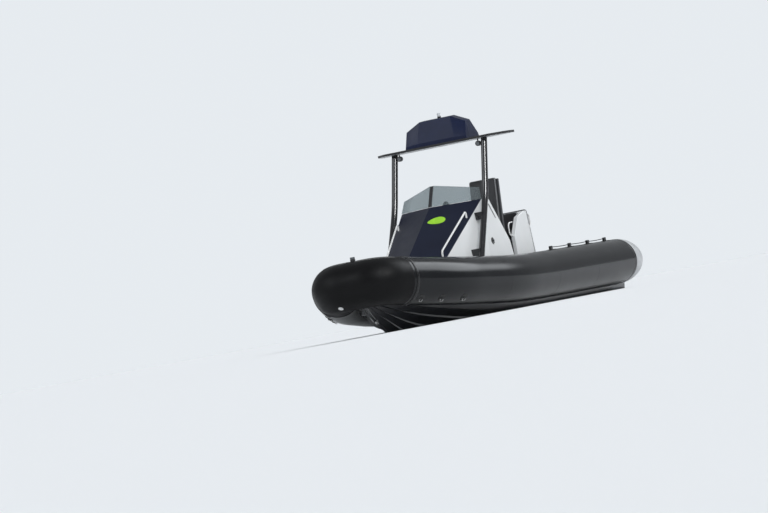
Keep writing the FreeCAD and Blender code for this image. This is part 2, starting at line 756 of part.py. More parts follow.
def throttle():
    base = dash_slab("ThrottleBase", 60, 110, 60, 230, 14.6, 50)
    foot = on_dash(60, 150, 60)
    lever = rod("ThrottleLever", "9", "150", foot, (dash_out + dash_up * 0.5).normalize())
    return fuse("Throttle", [base, lever])


keep("throttle", throttle())


# Crew seats

# Crew seats. Columns: node name, side, height of the back's top over the waterline.
CREW_SEATS = [
    ("helm_seat", 1, dim.SeatTop),
    ("navigator_seat", -1, 1500.0),
]
SEAT_FRONT = 3560
SEAT_PAN = 1040
BACK_FOOT = 3190
BACK_LEAN = 0.16


def back_line(z, depth=0):
    """Front of a seat's back shell at a height, or a line that far ahead of it."""
    return BACK_FOOT - BACK_LEAN * (z - SEAT_PAN) + depth


def seat_shell(name, side, top):
    """Pedestal, pan and back shell of a crew seat, as one profile across the seat."""
    head = top - 20
    points = [
        (SEAT_FRONT - 90, "DeckHeight + SeatGap"), (SEAT_FRONT - 60, 960), (SEAT_FRONT - 20, 1000),
        (SEAT_FRONT - 20, SEAT_PAN), (BACK_FOOT, SEAT_PAN), (back_line(head), head),
        (back_line(head, -45), head), (BACK_FOOT - 60, 1000), (BACK_FOOT + 10, 960),
        (BACK_FOOT + 30, "DeckHeight + SeatGap"),
    ]
    return prism(name, "XZ_Plane", points, "-(%d * SeatPlace + SeatSpan / 2)" % side, "SeatSpan")


def seat_cushions(name, side, top):
    """Seat cushion and back cushion, two plain pads on the shell."""
    low = SEAT_PAN + dim.SeatGap
    base = [(BACK_FOOT + 90, low), (SEAT_FRONT, low), (SEAT_FRONT, low + 80), (BACK_FOOT + 90, low + 90)]
    gap = dim.SeatGap
    back = [(back_line(low, gap), low), (back_line(low, gap + 85), low),
            (back_line(top, gap + 70), top), (back_line(top, gap), top)]
    pads = []
    for part, points in (("Base", base), ("Back", back)):
        pads.append(prism(name + part, "XZ_Plane", points,
                          "-(%d * SeatPlace + SeatSpan / 2 - 20)" % side, "SeatSpan - 40"))
    return group(name + "Cushions", pads)


for seat_name, side, top in CREW_SEATS:
    word = seat_name.title().replace("_", "")
    keep(seat_name, seat_shell(word, side, top))
    keep(seat_name + "_cushions", seat_cushions(word, side, top))


# Bench behind the crew seats

BENCH_FLOOR = 745
BENCH_BACK = 2690
BENCH_LEAN = 0.06
BENCH_TOP = 1400
AFT_LEAN = 0.09


def bench_back(z, depth=0):
    """Front of the bench's back at a height, or a line that far ahead of it."""
    return BENCH_BACK - BENCH_LEAN * (z - BENCH_FLOOR) + depth


def bench_aft(z, depth=0):
    """Aft face of the bench at a height, or a line that far behind it."""
    return 2400 + AFT_LEAN * (z - dim.DeckHeight) - depth


def bench_shell():
    """The moulded bench: raked wings, a base and a back, open to the front."""
    outer = side_prism("BenchOuter", [
        (bench_aft(300), "DeckHeight + SeatGap"), (3090, "DeckHeight + SeatGap"), (3090, 1050),
        (2850, 1330), (2600, BENCH_TOP), (bench_aft(BENCH_TOP), BENCH_TOP),
    ], "BenchHalfWidth")
    high = BENCH_TOP + 200
    pocket = side_prism("BenchPocket", [
        (BENCH_BACK, BENCH_FLOOR), (3300, BENCH_FLOOR), (3300, high), (bench_back(high), high),
    ], "BenchHalfWidth - BenchWing")
    return cut("Bench", outer, pocket)


keep("bench", bench_shell())


def bench_cushions():
    low = BENCH_FLOOR + dim.SeatGap
    gap = dim.SeatGap
    inside = "BenchHalfWidth - BenchWing - 8"
    base = side_prism("BenchSeatPad", [(bench_back(low, gap + 72), low), (3080, low),
                                       (3080, low + 85), (bench_back(low, gap + 72), low + 90)], inside)
    back = side_prism("BenchBackPad", [(bench_back(low, gap), low), (bench_back(low, gap + 68), low),
                                       (bench_back(1400, gap + 60), 1400), (bench_back(1400, gap), 1400)],
                      inside)
    return group("BenchPads", [base, back])


keep("bench_cushions", bench_cushions())
keep("bench_aft_pad", side_prism("BenchAftPad", [
    (bench_aft(640, dim.SeatGap), 640), (bench_aft(640, 90), 640),
    (bench_aft(1420, 80), 1420), (bench_aft(1420, dim.SeatGap), 1420)], "BenchHalfWidth - 20"))


# Arch

knee = Vector(3980, 735, 1700)
leg_foot = Vector(4560, dim.LegPlace, 800)
leg_top = Vector(3630, 727, dim.WingHeight - dim.SeatGap)


def arch_leg():
    """A raked leg with a rounded knee, standing off the console on two brackets."""
    above = leg_top + (leg_top - knee).normalize() * 60
    edges = rounded_path([leg_foot, knee, above], 0.2)
    leg = pipe("PortLegPipe", edges, "LegRadius")
    level = block("LegTopLevel", (leg_top.x - 200, leg_top.y - 200, "WingHeight - SeatGap"),
                  (400, 400, 300))
    leg = cut("PortLegCut", leg, level)
    slope = (knee - leg_foot).normalize()
    brackets = []
    for i, along in enumerate((110, 730)):
        place = leg_foot + slope * along
        brackets.append(block("LegBracket%d" % i, (place.x - 55, place.y - 300, place.z - 55),
                              (110, 300, 110)))
    trimmed = cut("LegBrackets", fuse("LegBracketPair", brackets), console_tool)
    return fuse("PortLeg", [leg, trimmed])


port_leg = keep("port_leg", arch_leg())
keep("starboard_leg", mirror("StarboardLeg", port_leg))


def arch_wing():
    """A flat plate with swept tips."""
    return prism("Wing", "XY_Plane", [
        ("WingFront", "-WingHalfSpan"), ("WingFront", "WingHalfSpan"),
        ("WingFront - 170", "WingHalfSpan + 170"), ("WingFront - 300", "WingHalfSpan + 210"),
        ("WingFront - WingChord + 40", "WingHalfSpan + 210"),
        ("WingFront - WingChord", "WingHalfSpan + 120"),
        ("WingFront - WingChord", "-WingHalfSpan - 120"),
        ("WingFront - WingChord + 40", "-WingHalfSpan - 210"),
        ("WingFront - 300", "-WingHalfSpan - 210"), ("WingFront - 170", "-WingHalfSpan - 170"),
    ], "WingHeight", "WingThick")


keep("arch_wing", arch_wing())


def pod_section(x, half_low, half_mid, half_top, mid, top):
    base = dim.WingHeight + dim.WingThick + dim.SeatGap
    side = [(half_low, base), (half_mid, base + mid), (half_top, base + top)]
    ring = [Vector(x, y, z) for y, z in side] + [Vector(x, -y, z) for y, z in reversed(side)]
    return Part.makePolygon(ring + ring[:1])


# Sections of the pod. Columns: place behind the wing's front edge, half widths at the foot, the
# shoulder and the crown, and the heights of the shoulder and the crown as shares of PodHeight.
POD_SECTIONS = [
    (20, 500, 490, 300, 0.10, 0.14),
    (120, 500, 480, 250, 0.66, 0.96),
    (300, 500, 470, 240, 0.72, 1.00),
    (480, 500, 490, 300, 0.16, 0.22),
]


def roof_pod():
    """The faceted pod on the wing, lofted through four six-sided sections."""
    wires = []
    for i, (back, low, middle, crown, shoulder, top) in enumerate(POD_SECTIONS):
        ring = pod_section(dim.WingFront - back, low, middle, crown,
                           shoulder * dim.PodHeight, top * dim.PodHeight)
        wires.append(feature("PodRing%d" % i, ring))
    loft = doc.addObject("Part::Loft", "Pod")
    loft.Sections = wires
    loft.Solid = True
    loft.Ruled = True
    return loft


keep("roof_pod", roof_pod())


def arch_lamp(name, y):
    """A round lamp on a short stem under the wing."""
    centre = Vector(3640, y, dim.WingHeight - 75)
    can = rod(name + "Can", "38", "60", centre, Vector(1, 0, 0))
    stem = rod(name + "Stem", "10", "75 - SeatGap", centre + Vector(30, 0, 0), Vector(0, 0, 1))
    return fuse(name, [can, stem])


keep("arch_lamps", group("ArchLamps", [arch_lamp("PortLamp", 640), arch_lamp("StarboardLamp", -640)]))
keep("mast_light", rod("MastLight", "26", "70",
                       Vector(dim.WingFront - 300, 0,
                              dim.WingHeight + dim.WingThick + dim.PodHeight + 2 * dim.SeatGap),
                       Vector(0, 0, 1)))


# Hand rails

def console_rail():
    """A bent rail along the port edge of the console's front."""
    slope = (corner["Pc"] - corner["Pb"]).normalize()
    inboard = Vector(0, -45, 0)
    low = corner["Pb"] + slope * 500 + inboard
    high = corner["Pb"] + slope * 1500 + inboard
    lift = Vector(0, 0, 120)
    rail = pipe("PortRailPipe", rounded_path([low, low + lift, high + lift, high], 0.3), "RailRadius")
    return cut("PortRail", rail, cover_tool)


port_rail = console_rail()
keep("console_rails", group("ConsoleRails", [port_rail, mirror("StarboardRail", port_rail)]))


# Bow

def locker_outline(grow):
    """Outline of the bow locker in plan, grown outwards all round by a formula."""
    front = "BowReach - StemBack - LockerBack + (%s)" % grow
    aft = "BowReach - StemBack - LockerBack - LockerLength - (%s)" % grow
    return [(aft, "-LockerAft - (%s)" % grow), (front, "-LockerFront - (%s)" % grow),
            (front, "LockerFront + (%s)" % grow), (aft, "LockerAft + (%s)" % grow)]


locker_aft = dim.HullLength - dim.LockerBack - dim.LockerLength
lid_hinges = [Vector(locker_aft - dim.HingeReach, side * dim.LockerAft * 0.6,
                     dim.LockerTop + dim.SeatGap - dim.KnuckleRadius - 1.3) for side in (-1, 1)]


def bow_locker():
    """The raised locker in the bow, open at the top for its lid, with the lugs of its hinges."""
    outer = prism("LockerOuter", "XY_Plane", locker_outline("0"), "DeckHeight - 40",
                  "LockerTop - DeckHeight + 40")
    inner = prism("LockerInner", "XY_Plane", locker_outline("-LockerWall"), "DeckHeight - 60",
                  "LockerTop - DeckHeight + 80")
    seated = cut("LockerSeated", cut("Locker", outer, inner), deck_tool)
    return fuse("BowLocker", [seated] + level_lugs("LidLug", lid_hinges, 1))


def locker_lid():
    plate = prism("LidPlate", "XY_Plane", locker_outline("LidEdge"), "LockerTop + SeatGap", "LidThick")
    return level_leaf("LockerLid", plate, lid_hinges, 1, dim.LockerTop + dim.SeatGap)


keep("bow_locker", bow_locker())
keep("locker_lid", locker_lid())


def bow_light():
    """The small light on top of the bow tube."""
    top = nose_corner.z + dim.TubeRadius + dim.SeatGap
    return rod("BowLight", "34", "55", Vector(dim.BowReach, 0, top), Vector(0, 0, 1))


keep("bow_light", bow_light())

stem_low, stem_high = [Vector(row[0] * dim.HullLength, 0, -dim.KeelDepth + row[1]) for row in STATIONS[9:11]]
stem_run = (stem_high - stem_low).normalize()
stem_out = Vector(stem_run.z, 0, -stem_run.x)
eye_centre = (stem_low + stem_high * 3) / 4 + stem_out * (dim.EyeRadius - 6)


def bow_eye():
    """The eye on the stem that takes a shackle, its hole across the boat."""
    side = Vector(0, -dim.EyeThick / 2, 0)
    plate = rod("EyePlate", "EyeRadius", "EyeThick", eye_centre + side, Vector(0, 1, 0))
    hole = rod("EyeHole", "EyeBore", "EyeThick * 3", eye_centre + side * 3, Vector(0, 1, 0))
    return cut("BowEye", cut("EyeSeated", plate, stem_tool), hole)


keep("bow_eye", bow_eye())


# Stern drive

axis_x = -dim.DriveReach


def drive_mount():
    """The shield on the transom with two ears for the steering fork."""
    plate = block("MountPlate", ("-40", "-190", "DriveHeight - 300"), ("40 - SeatGap", "380", "420"))
    ears = []
    for i, z in enumerate(("DriveHeight + 75", "DriveHeight - 115")):
        ears.append(block("MountEar%d" % i, ("-DriveReach - 45", "-45", z), ("DriveReach + 10", "90", "40")))
    bore = rod("SteeringBore", "18.05", "400", Vector(axis_x, 0, dim.DriveHeight - 200), Vector(0, 0, 1))
    return cut("DriveMount", fuse("MountWhole", [plate] + ears), bore)


keep("drive_mount", drive_mount())


def drive_yoke():
    """The steering block between the ears, with the tilt trunnions."""
    body = block("YokeBody", ("-DriveReach - 45", "-55", "DriveHeight - 70"), ("90", "110", "140"))
    pin = rod("YokePin", "16", "300", Vector(axis_x - 60, -150, dim.DriveHeight), Vector(0, 1, 0))
    back = block("YokeBack", ("-DriveReach - 90", "-40", "DriveHeight - 30"), ("60", "80", "60"))
    king = rod("KingPin", "18", "230", Vector(axis_x, 0, dim.DriveHeight - 115), Vector(0, 0, 1))
    return fuse("DriveYoke", [body, pin, back, king])


keep("drive_yoke", drive_yoke())

tilt_axis = Vector(axis_x - 60, 0, dim.DriveHeight)


def drive_leg():
    """Upper case, leg, plate, torpedo and skeg of the drive, forked round the yoke's trunnions."""
    shaft_z = dim.DriveHeight - dim.ShaftDepth
    case = prism("DriveCase", "XZ_Plane", [
        (axis_x - 110, dim.DriveHeight + 40), (axis_x - 110, dim.DriveHeight - 160),
        (axis_x - 130, shaft_z + 30), (axis_x - 430, shaft_z + 30),
        (axis_x - 400, dim.DriveHeight + 60), (axis_x - 330, dim.DriveHeight + 150),
        (axis_x - 230, dim.DriveHeight + 150),
    ], -62, 124)
    cheeks = []
    for i, y in enumerate((62, -98)):
        cheeks.append(prism("DriveCheek%d" % i, "XZ_Plane", [
            (axis_x - 30, dim.DriveHeight + 45), (axis_x - 30, dim.DriveHeight - 45),
            (axis_x - 160, dim.DriveHeight - 90), (axis_x - 200, dim.DriveHeight + 90),
        ], -y - 36, 36))
    plate = block("DrivePlate", (axis_x - 560, "-130", "DriveHeight - ShaftDepth + 225"),
                  ("420", "260", "16"))
    torpedo = rod("DriveTorpedo", "62", "420", Vector(axis_x - 500, 0, shaft_z), Vector(1, 0, 0))
    nose = doc.addObject("Part::Cone", "DriveNose")
    nose.Radius1, nose.Radius2, nose.Height = 62, 14, 110
    nose.Placement = FreeCAD.Placement(Vector(axis_x - 80, 0, shaft_z),
                                       FreeCAD.Rotation(Vector(0, 0, 1), Vector(1, 0, 0)))
    shaft = rod("DriveShaft", "20", "230", Vector(axis_x - 715, 0, shaft_z), Vector(1, 0, 0))
    skeg = prism("DriveSkeg", "XZ_Plane", [
        (axis_x - 120, shaft_z - 40), (axis_x - 320, shaft_z - 210), (axis_x - 430, shaft_z - 210),
        (axis_x - 440, shaft_z - 40)], -9, 18)
    whole = fuse("DriveBody", [case, plate, torpedo, nose, skeg, shaft] + cheeks)
    bore = rod("TrunnionBore", "16.05", "320", Vector(tilt_axis.x, -160, tilt_axis.z), Vector(0, 1, 0))
    return cut("DriveLeg", whole, bore)


keep("drive_leg", drive_leg())


def propeller(name, start, pitch_sign):
    """Three twisted blades on a hub."""
    shaft_z = dim.DriveHeight - dim.ShaftDepth
    hub = rod(name + "Hub", "60", "86", Vector(start - 86, 0, shaft_z), Vector(1, 0, 0))
    blades = []
    for i in range(3):
        wires = []
        # Columns: share of the radius, chord, pitch angle from the disc in degrees.
        for share, chord, angle in ((0.25, 85, 62), (0.6, 140, 38), (0.98, 90, 24)):
            turn = math.radians(angle) * pitch_sign
            half = chord / 2
            along = Vector(math.sin(turn) * half, math.cos(turn) * half, 0)
            thick = Vector(math.cos(turn) * 4, -math.sin(turn) * 4, 0)
            middle = Vector(0, 0, share * dim.PropellerRadius)
            loop = [middle + along, middle + thick, middle - along, middle - thick]
            wires.append(Part.makePolygon(loop + loop[:1]))
        blade = Part.makeLoft(wires, True, True)
        blade.rotate(Vector(0, 0, 0), Vector(1, 0, 0), 120 * i)
        blade.translate(Vector(start - 43, 0, shaft_z))
        blades.append(feature("%sBlade%d" % (name, i), blade))
    bore = rod(name + "Bore", "20.05", "120", Vector(start - 100, 0, shaft_z), Vector(1, 0, 0))
    return cut(name, fuse(name + "Whole", [hub] + blades), bore)


keep("propeller_front", propeller("PropellerFront", axis_x - 503, 1))
keep("propeller_rear", propeller("PropellerRear", axis_x - 595, -1))


# Build, check and write

doc.recompute()
problems = [item.Name for item in doc.Objects if "Invalid" in item.State or "Error" in item.State]
for node, item in nodes.items():
    shape = item.Shape
    if shape.isNull() or not shape.isValid():
        problems.append(node)
if problems:
    raise RuntimeError("these objects failed: " + ", ".join(problems))

os.makedirs("parts", exist_ok=True)
for node, item in sorted(nodes.items()):
    item.Shape.exportStep("parts/%s.step" % node)
    print(node, len(item.Shape.Solids), "solids", round(item.Shape.Volume / 1e6, 2), "litres")
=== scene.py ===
"""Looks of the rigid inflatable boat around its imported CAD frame. Metres, +X forward, +Y to port, +Z up.

The origin is on the still waterline below the transom, so the floor of the scene lies at z = 0.
"""

import math

import bmesh
import bpy
from mathutils import Matrix, Vector, noise


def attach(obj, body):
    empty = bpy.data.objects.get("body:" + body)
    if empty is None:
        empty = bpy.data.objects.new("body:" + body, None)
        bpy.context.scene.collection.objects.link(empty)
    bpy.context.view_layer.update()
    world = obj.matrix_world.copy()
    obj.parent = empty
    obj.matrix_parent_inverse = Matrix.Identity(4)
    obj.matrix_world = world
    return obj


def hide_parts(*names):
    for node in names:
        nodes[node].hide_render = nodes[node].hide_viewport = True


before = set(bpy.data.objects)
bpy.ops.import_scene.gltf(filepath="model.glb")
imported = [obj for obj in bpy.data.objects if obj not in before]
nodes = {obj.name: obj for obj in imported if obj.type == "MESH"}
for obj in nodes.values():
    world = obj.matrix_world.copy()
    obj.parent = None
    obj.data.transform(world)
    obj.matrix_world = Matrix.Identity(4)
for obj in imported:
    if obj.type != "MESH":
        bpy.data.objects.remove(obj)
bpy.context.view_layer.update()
UP = Vector((0, 0, 1))

# Driving sizes, the same as the CAD's

TUBE_RADIUS = 0.340
HALF_BEAM = 1.081
COLLAR_HEIGHT = 0.420
BOW_REACH = 7.244
BOW_TAPER = 3.576
SHEER_RISE = 0.304
SHEER_RUN = 0.080
SHEER_LENGTH = BOW_TAPER + SHEER_RUN
TUBE_START = 0.320
CONE_LENGTH = 0.720
CONE_END = 0.120
TOUCH_ANGLES = (0, 36, 62, 90)
STEM_BACK = 0.184
HULL_LENGTH = BOW_REACH - STEM_BACK
KEEL_DEPTH = 0.420
CHINE_HALF_BEAM = 1.000
DECK_HEIGHT = 0.300
STRAKE_WIDTH = 0.048
CHINE_FLAT = 0.070

# Radius of the visual tubes, a little inside the solid ones.
TUBE_SURFACE = TUBE_RADIUS - 0.0015
SIDES = (("port", 1), ("starboard", -1))
FORWARD = Vector((1, 0, 0))


# Materials

# The part of its range that a noise mostly fills.
NOISE_LOW, NOISE_HIGH = 0.3, 0.7
# Gloss varies in smaller patches than colour by this factor, and no finish is smoother than the least.
GLOSS_PATCH = 3.1
LEAST_ROUGH = 0.02
GRAIN_DEPTH = 0.002


def socket_noise(tree, coords, scale, detail=3.0):
    texture = tree.nodes.new("ShaderNodeTexNoise")
    texture.inputs["Scale"].default_value = scale
    texture.inputs["Detail"].default_value = detail
    tree.links.new(coords, texture.inputs["Vector"])
    return texture.outputs["Fac"]


def spread(tree, value, low, high):
    """Maps a noise value to a range."""
    node = tree.nodes.new("ShaderNodeMapRange")
    node.inputs["From Min"].default_value = NOISE_LOW
    node.inputs["From Max"].default_value = NOISE_HIGH
    node.inputs["To Min"].default_value = low
    node.inputs["To Max"].default_value = high
    tree.links.new(value, node.inputs["Value"])
    return node.outputs["Result"]


def finish(name, colour, rough, vary=0.12, patch=2.5, grain=0.0, grain_scale=400.0, rough_vary=0.08, **fixed):
    """A painted, moulded or woven surface: patchy colour and gloss, with a fine grain if asked for."""
    made = bpy.data.materials.new(name)
    made.use_nodes = True
    tree = made.node_tree
    shader = tree.nodes["Principled BSDF"]
    for key, value in fixed.items():
        shader.inputs[key.replace("_", " ")].default_value = value
    coords = tree.nodes.new("ShaderNodeTexCoord").outputs["Object"]
    tone = spread(tree, socket_noise(tree, coords, patch), 0.0, 1.0)
    mix = tree.nodes.new("ShaderNodeMix")
    mix.data_type = "RGBA"
    mix.inputs["A"].default_value = (*[c * (1 - vary) for c in colour], 1)
    mix.inputs["B"].default_value = (*[min(1.0, c * (1 + vary)) for c in colour], 1)
    tree.links.new(tone, mix.inputs["Factor"])
    tree.links.new(mix.outputs["Result"], shader.inputs["Base Color"])
    patches = socket_noise(tree, coords, patch * GLOSS_PATCH)
    gloss = spread(tree, patches, max(LEAST_ROUGH, rough - rough_vary), rough + rough_vary)
    tree.links.new(gloss, shader.inputs["Roughness"])
    if grain:
        bump = tree.nodes.new("ShaderNodeBump")
        bump.inputs["Strength"].default_value = grain
        bump.inputs["Distance"].default_value = GRAIN_DEPTH
        tree.links.new(socket_noise(tree, coords, grain_scale), bump.inputs["Height"])
        tree.links.new(bump.outputs["Normal"], shader.inputs["Normal"])
    return made


COLLAR = finish("collar_fabric", (0.004, 0.0045, 0.006), 0.20, patch=1.1, grain=0.03, grain_scale=220,
                rough_vary=0.05, Coat_Weight=0.25, Coat_Roughness=0.07, Specular_IOR_Level=0.20)
BOW_FABRIC = finish("bow_fabric", (0.0045, 0.0045, 0.005), 0.42, patch=1.8, grain=0.06, grain_scale=220,
                    Specular_IOR_Level=0.14)
BAND = finish("band_fabric", (0.004, 0.004, 0.005), 0.30, grain=0.1, grain_scale=300)
STEP_PAD = finish("step_pad", (0.075, 0.075, 0.075), 0.62, vary=0.25, patch=9, grain=0.5, grain_scale=180)
CONE = finish("cone_plastic", (0.46, 0.47, 0.48), 0.34, vary=0.06, patch=3)
HULL = finish("hull_paint", (0.010, 0.011, 0.015), 0.14, patch=0.9, rough_vary=0.05, Coat_Weight=0.6,
              Coat_Roughness=0.06)
DECK = finish("deck_grip", (0.33, 0.34, 0.35), 0.70, vary=0.08, patch=5, grain=0.6, grain_scale=150)
WHITE = finish("white_moulding", (0.78, 0.79, 0.79), 0.24, vary=0.03, patch=2, rough_vary=0.02,
               Coat_Weight=0.3, Coat_Roughness=0.1)
COVER = finish("cover_navy", (0.008, 0.011, 0.026), 0.32, patch=2, rough_vary=0.03, Specular_IOR_Level=0.22)
POD = finish("pod_navy", (0.008, 0.013, 0.042), 0.32, patch=3, rough_vary=0.03, Specular_IOR_Level=0.25)
BLACK_GLOSS = finish("black_gloss", (0.010, 0.010, 0.012), 0.13, patch=4, rough_vary=0.04, Coat_Weight=0.5)
BLACK_SATIN = finish("black_satin", (0.020, 0.020, 0.022), 0.38, patch=6, grain=0.1, grain_scale=500)
RUBBER = finish("black_rubber", (0.016, 0.016, 0.016), 0.55, patch=9, grain=0.25, grain_scale=420)
VINYL = finish("seat_vinyl", (0.024, 0.024, 0.027), 0.46, patch=5, grain=0.35, grain_scale=520,
               rough_vary=0.04, Sheen_Weight=0.15)
PIPING = finish("piping", (0.30, 0.31, 0.32), 0.5, patch=12)
SHELL = finish("seat_shell", (0.045, 0.047, 0.052), 0.36, vary=0.06, patch=3, rough_vary=0.03)
STEEL = finish("steel", (0.62, 0.62, 0.61), 0.20, vary=0.08, patch=18, Metallic=1.0)
WHITE_TUBE = finish("white_tube", (0.80, 0.80, 0.79), 0.20, vary=0.03, patch=6, Coat_Weight=0.4)
ENGINE = finish("engine_paint", (0.26, 0.27, 0.28), 0.42, vary=0.15, patch=8, grain=0.2, grain_scale=200)
ENGINE_PAINT = finish("engine_silver", (0.42, 0.43, 0.44), 0.36, vary=0.1, patch=8, grain=0.15,
                      grain_scale=240)
PIPE = finish("engine_pipe", (0.14, 0.14, 0.15), 0.45, vary=0.2, patch=12)
DRIVE = finish("drive_paint", (0.055, 0.058, 0.064), 0.32, vary=0.15, patch=6, grain=0.08, grain_scale=260)
BRONZE = finish("propeller_metal", (0.55, 0.45, 0.28), 0.26, vary=0.12, patch=14, Metallic=1.0)
ROPE = finish("rope", (0.022, 0.022, 0.023), 0.75, vary=0.3, patch=60, grain=0.8, grain_scale=700)
GREEN = finish("green_mark", (0.30, 0.62, 0.03), 0.35, vary=0.08, patch=14)
SCREEN = finish("screen_glass", (0.006, 0.008, 0.011), 0.08, patch=5, rough_vary=0.02, Coat_Weight=1.0)
DIAL = finish("dial_face", (0.55, 0.56, 0.55), 0.35, vary=0.05, patch=30)
LAMP_GLASS = finish("lamp_glass", (0.10, 0.11, 0.12), 0.06, vary=0.05, patch=20, rough_vary=0.02,
                    Coat_Weight=0.8)
DECK_DARK = finish("deck_panel", (0.115, 0.12, 0.125), 0.75, vary=0.12, patch=6, grain=0.8, grain_scale=120)
LENS = finish("lamp_lens", (0.70, 0.72, 0.74), 0.08, vary=0.05, patch=20, rough_vary=0.03, Coat_Weight=0.8)
WING_UNDERSIDE_GREY = finish("wing_underside_grey", (0.40, 0.42, 0.44), 0.35, vary=0.05, patch=4)
GLASS = finish("tinted_glass", (0.68, 0.77, 0.80), 0.03, vary=0.04, patch=2, rough_vary=0.01,
               Transmission_Weight=0.92, IOR=1.45)


# Building blocks


def added(name, data):
    """A new object of the scene."""
    item = bpy.data.objects.new(name, data)
    bpy.context.scene.collection.objects.link(item)
    return item


def smooth(mesh, material, angle=35):
    """Gives a mesh its material, and smooth shading up to an angle between its faces."""
    mesh.materials.append(material)
    mesh.shade_smooth()
    mesh.set_sharp_from_angle(angle=math.radians(angle))


def make(name, points, faces, material, body="boat", angle=35, slot=None):
    """A mesh piece in the row frame that rides on a body."""
    mesh = bpy.data.meshes.new(name)
    mesh.from_pydata([tuple(p) for p in points], [], faces)
    work = bmesh.new()
    work.from_mesh(mesh)
    bmesh.ops.recalc_face_normals(work, faces=work.faces)
    work.to_mesh(mesh)
    work.free()
    smooth(mesh, material, angle)
    piece = added(name, mesh)
    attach(piece, body)
    return piece


def rings_to_mesh(rings, closed_run=False, caps=True):
    """Points and faces of a skin through rings with the same count of points."""
    count = len(rings[0])
    points = [p for ring in rings for p in ring]
    faces = []
    last = len(rings) if closed_run else len(rings) - 1
    for i in range(last):
        k = (i + 1) % len(rings)
        for j in range(count):
            m = (j + 1) % count
            faces.append((i * count + j, i * count + m, k * count + m, k * count + j))
    if caps and not closed_run:
        faces.append(tuple(reversed(range(count))))
        faces.append(tuple((len(rings) - 1) * count + j for j in range(count)))
    return points, faces


def frames_along(path, closed=False):
    """An untwisted pair of normals at each point of a path."""
    count = len(path)
    tangents = []
    for i in range(count):
        before = path[i - 1] if (i or closed) else path[0]
        after = path[(i + 1) % count] if (i < count - 1 or closed) else path[-1]
        tangents.append((after - before).normalized())
    side = tangents[0].orthogonal().normalized()
    if abs(tangents[0].dot(UP)) < 0.9:
        side = (UP - tangents[0] * UP.dot(tangents[0])).normalized()
    made = []
    for tangent in tangents:
        side = (side - tangent * side.dot(tangent)).normalized()
        made.append((tangent, side, tangent.cross(side)))
    return made


def turns(count):
    """Even angles round a whole circle."""
    return [2 * math.pi * j / count for j in range(count)]


def ring_round(middle, side, cross, radius, sides):
    """Points on a circle round a middle, in the plane of two directions."""
    return [middle + side * (radius * math.cos(t)) + cross * (radius * math.sin(t)) for t in turns(sides)]


def sweep(name, path, radius, material, sides=20, closed=False, **rest):
    """A round tube along a path."""
    rings = [ring_round(middle, side, cross, radius, sides)
             for middle, (_, side, cross) in zip(path, frames_along(path, closed))]
    points, faces = rings_to_mesh(rings, closed)
    return make(name, points, faces, material, **rest)


def bend(points, share=0.499, step=0.05):
    """Points along straight runs joined by arcs that touch both runs at each inner point."""
    line = [points[0]]
    for before, corner, after in zip(points, points[1:], points[2:]):
        into, out = before - corner, after - corner
        reach = share * min(into.length, out.length)
        into.normalize()
        out.normalize()
        half = into.angle(out) / 2
        radius = reach * math.tan(half)
        centre = corner + (into + out).normalized() * (radius / math.sin(half))
        start = corner + into * reach - centre
        end = corner + out * reach - centre
        steps = max(4, int(radius * (math.pi - 2 * half) / step))
        line += [centre + start.slerp(end, i / steps) * radius for i in range(steps + 1)]
    line.append(points[-1])
    kept = [line[0]]
    for point in line[1:]:
        gap = (point - kept[-1]).length
        if gap > 2 * step:
            parts = int(gap / step)
            kept += [kept[-1].lerp(point, (i + 1) / parts) for i in range(parts)]
        elif gap > 1e-4:
            kept.append(point)
    return kept


def turned(name, outline, start, direction, material, sides=28, **rest):
    """A body of revolution. outline holds (along, radius) from start in the direction."""
    along = Vector(direction).normalized()
    side = along.orthogonal().normalized()
    cross = along.cross(side)
    rings = [ring_round(Vector(start) + along * reach, side, cross, radius, sides)
             for reach, radius in outline]
    points, faces = rings_to_mesh(rings)
    return make(name, points, faces, material, **rest)


def slab(name, outline, back, material, **rest):
    """A flat plate: the corners of one face, and the vector to the other face."""
    count = len(outline)
    points = [Vector(p) for p in outline] + [Vector(p) + Vector(back) for p in outline]
    faces = [tuple(range(count)), tuple(reversed(range(count, 2 * count)))]
    faces += [(i, i + count, (i + 1) % count + count, (i + 1) % count) for i in range(count)]
    return make(name, points, faces, material, **rest)


def brick(name, low, high, material, edge=0.0, **rest):
    """A box between two corners, with rounded edges if a width is given."""
    (x0, y0, z0), (x1, y1, z1) = low, high
    base = [(x0, y0, z0), (x1, y0, z0), (x1, y1, z0), (x0, y1, z0)]
    piece = slab(name, base, (0, 0, z1 - z0), material, **rest)
    if edge:
        soften(piece, edge)
    return piece


def soften(piece, width, segments=3, weld=False):
    """Rounded edges by modifiers, so that a CAD node's own mesh stays as it is."""
    if weld:
        joined = piece.modifiers.new("Joined", "WELD")
        joined.merge_threshold = 0.0001
    rounding = piece.modifiers.new("Rounding", "BEVEL")
    rounding.width = width
    rounding.segments = segments
    rounding.limit_method = "ANGLE"
    rounding.angle_limit = math.radians(28)
    rounding.harden_normals = True
    return piece


def join(name, pieces):
    """Several pieces of the boat, all of one material, as one piece."""
    work = bmesh.new()
    for piece in pieces:
        work.from_mesh(piece.data)
    mesh = bpy.data.meshes.new(name)
    work.to_mesh(mesh)
    work.free()
    smooth(mesh, pieces[0].data.materials[0])
    for piece in pieces:
        bpy.data.objects.remove(piece)
    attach(added(name, mesh), "boat")


def studs(name, places, radius, height, material):
    """Round-headed bolts. Each place is a point and the way its head faces."""
    outline = ((0, radius), (height * 0.5, radius), (height * 0.85, radius * 0.7), (height, radius * 0.3))
    heads = [turned("%s_%d" % (name, i), outline, point, way, material, sides=10)
             for i, (point, way) in enumerate(places)]
    join(name, heads)


# Cushions: the largest rounding of an edge, the half width of a seam and the radius of the piping.
PAD_EDGE = 0.032
SEAM_HALF = 0.010
PIPING_RADIUS = 0.0042
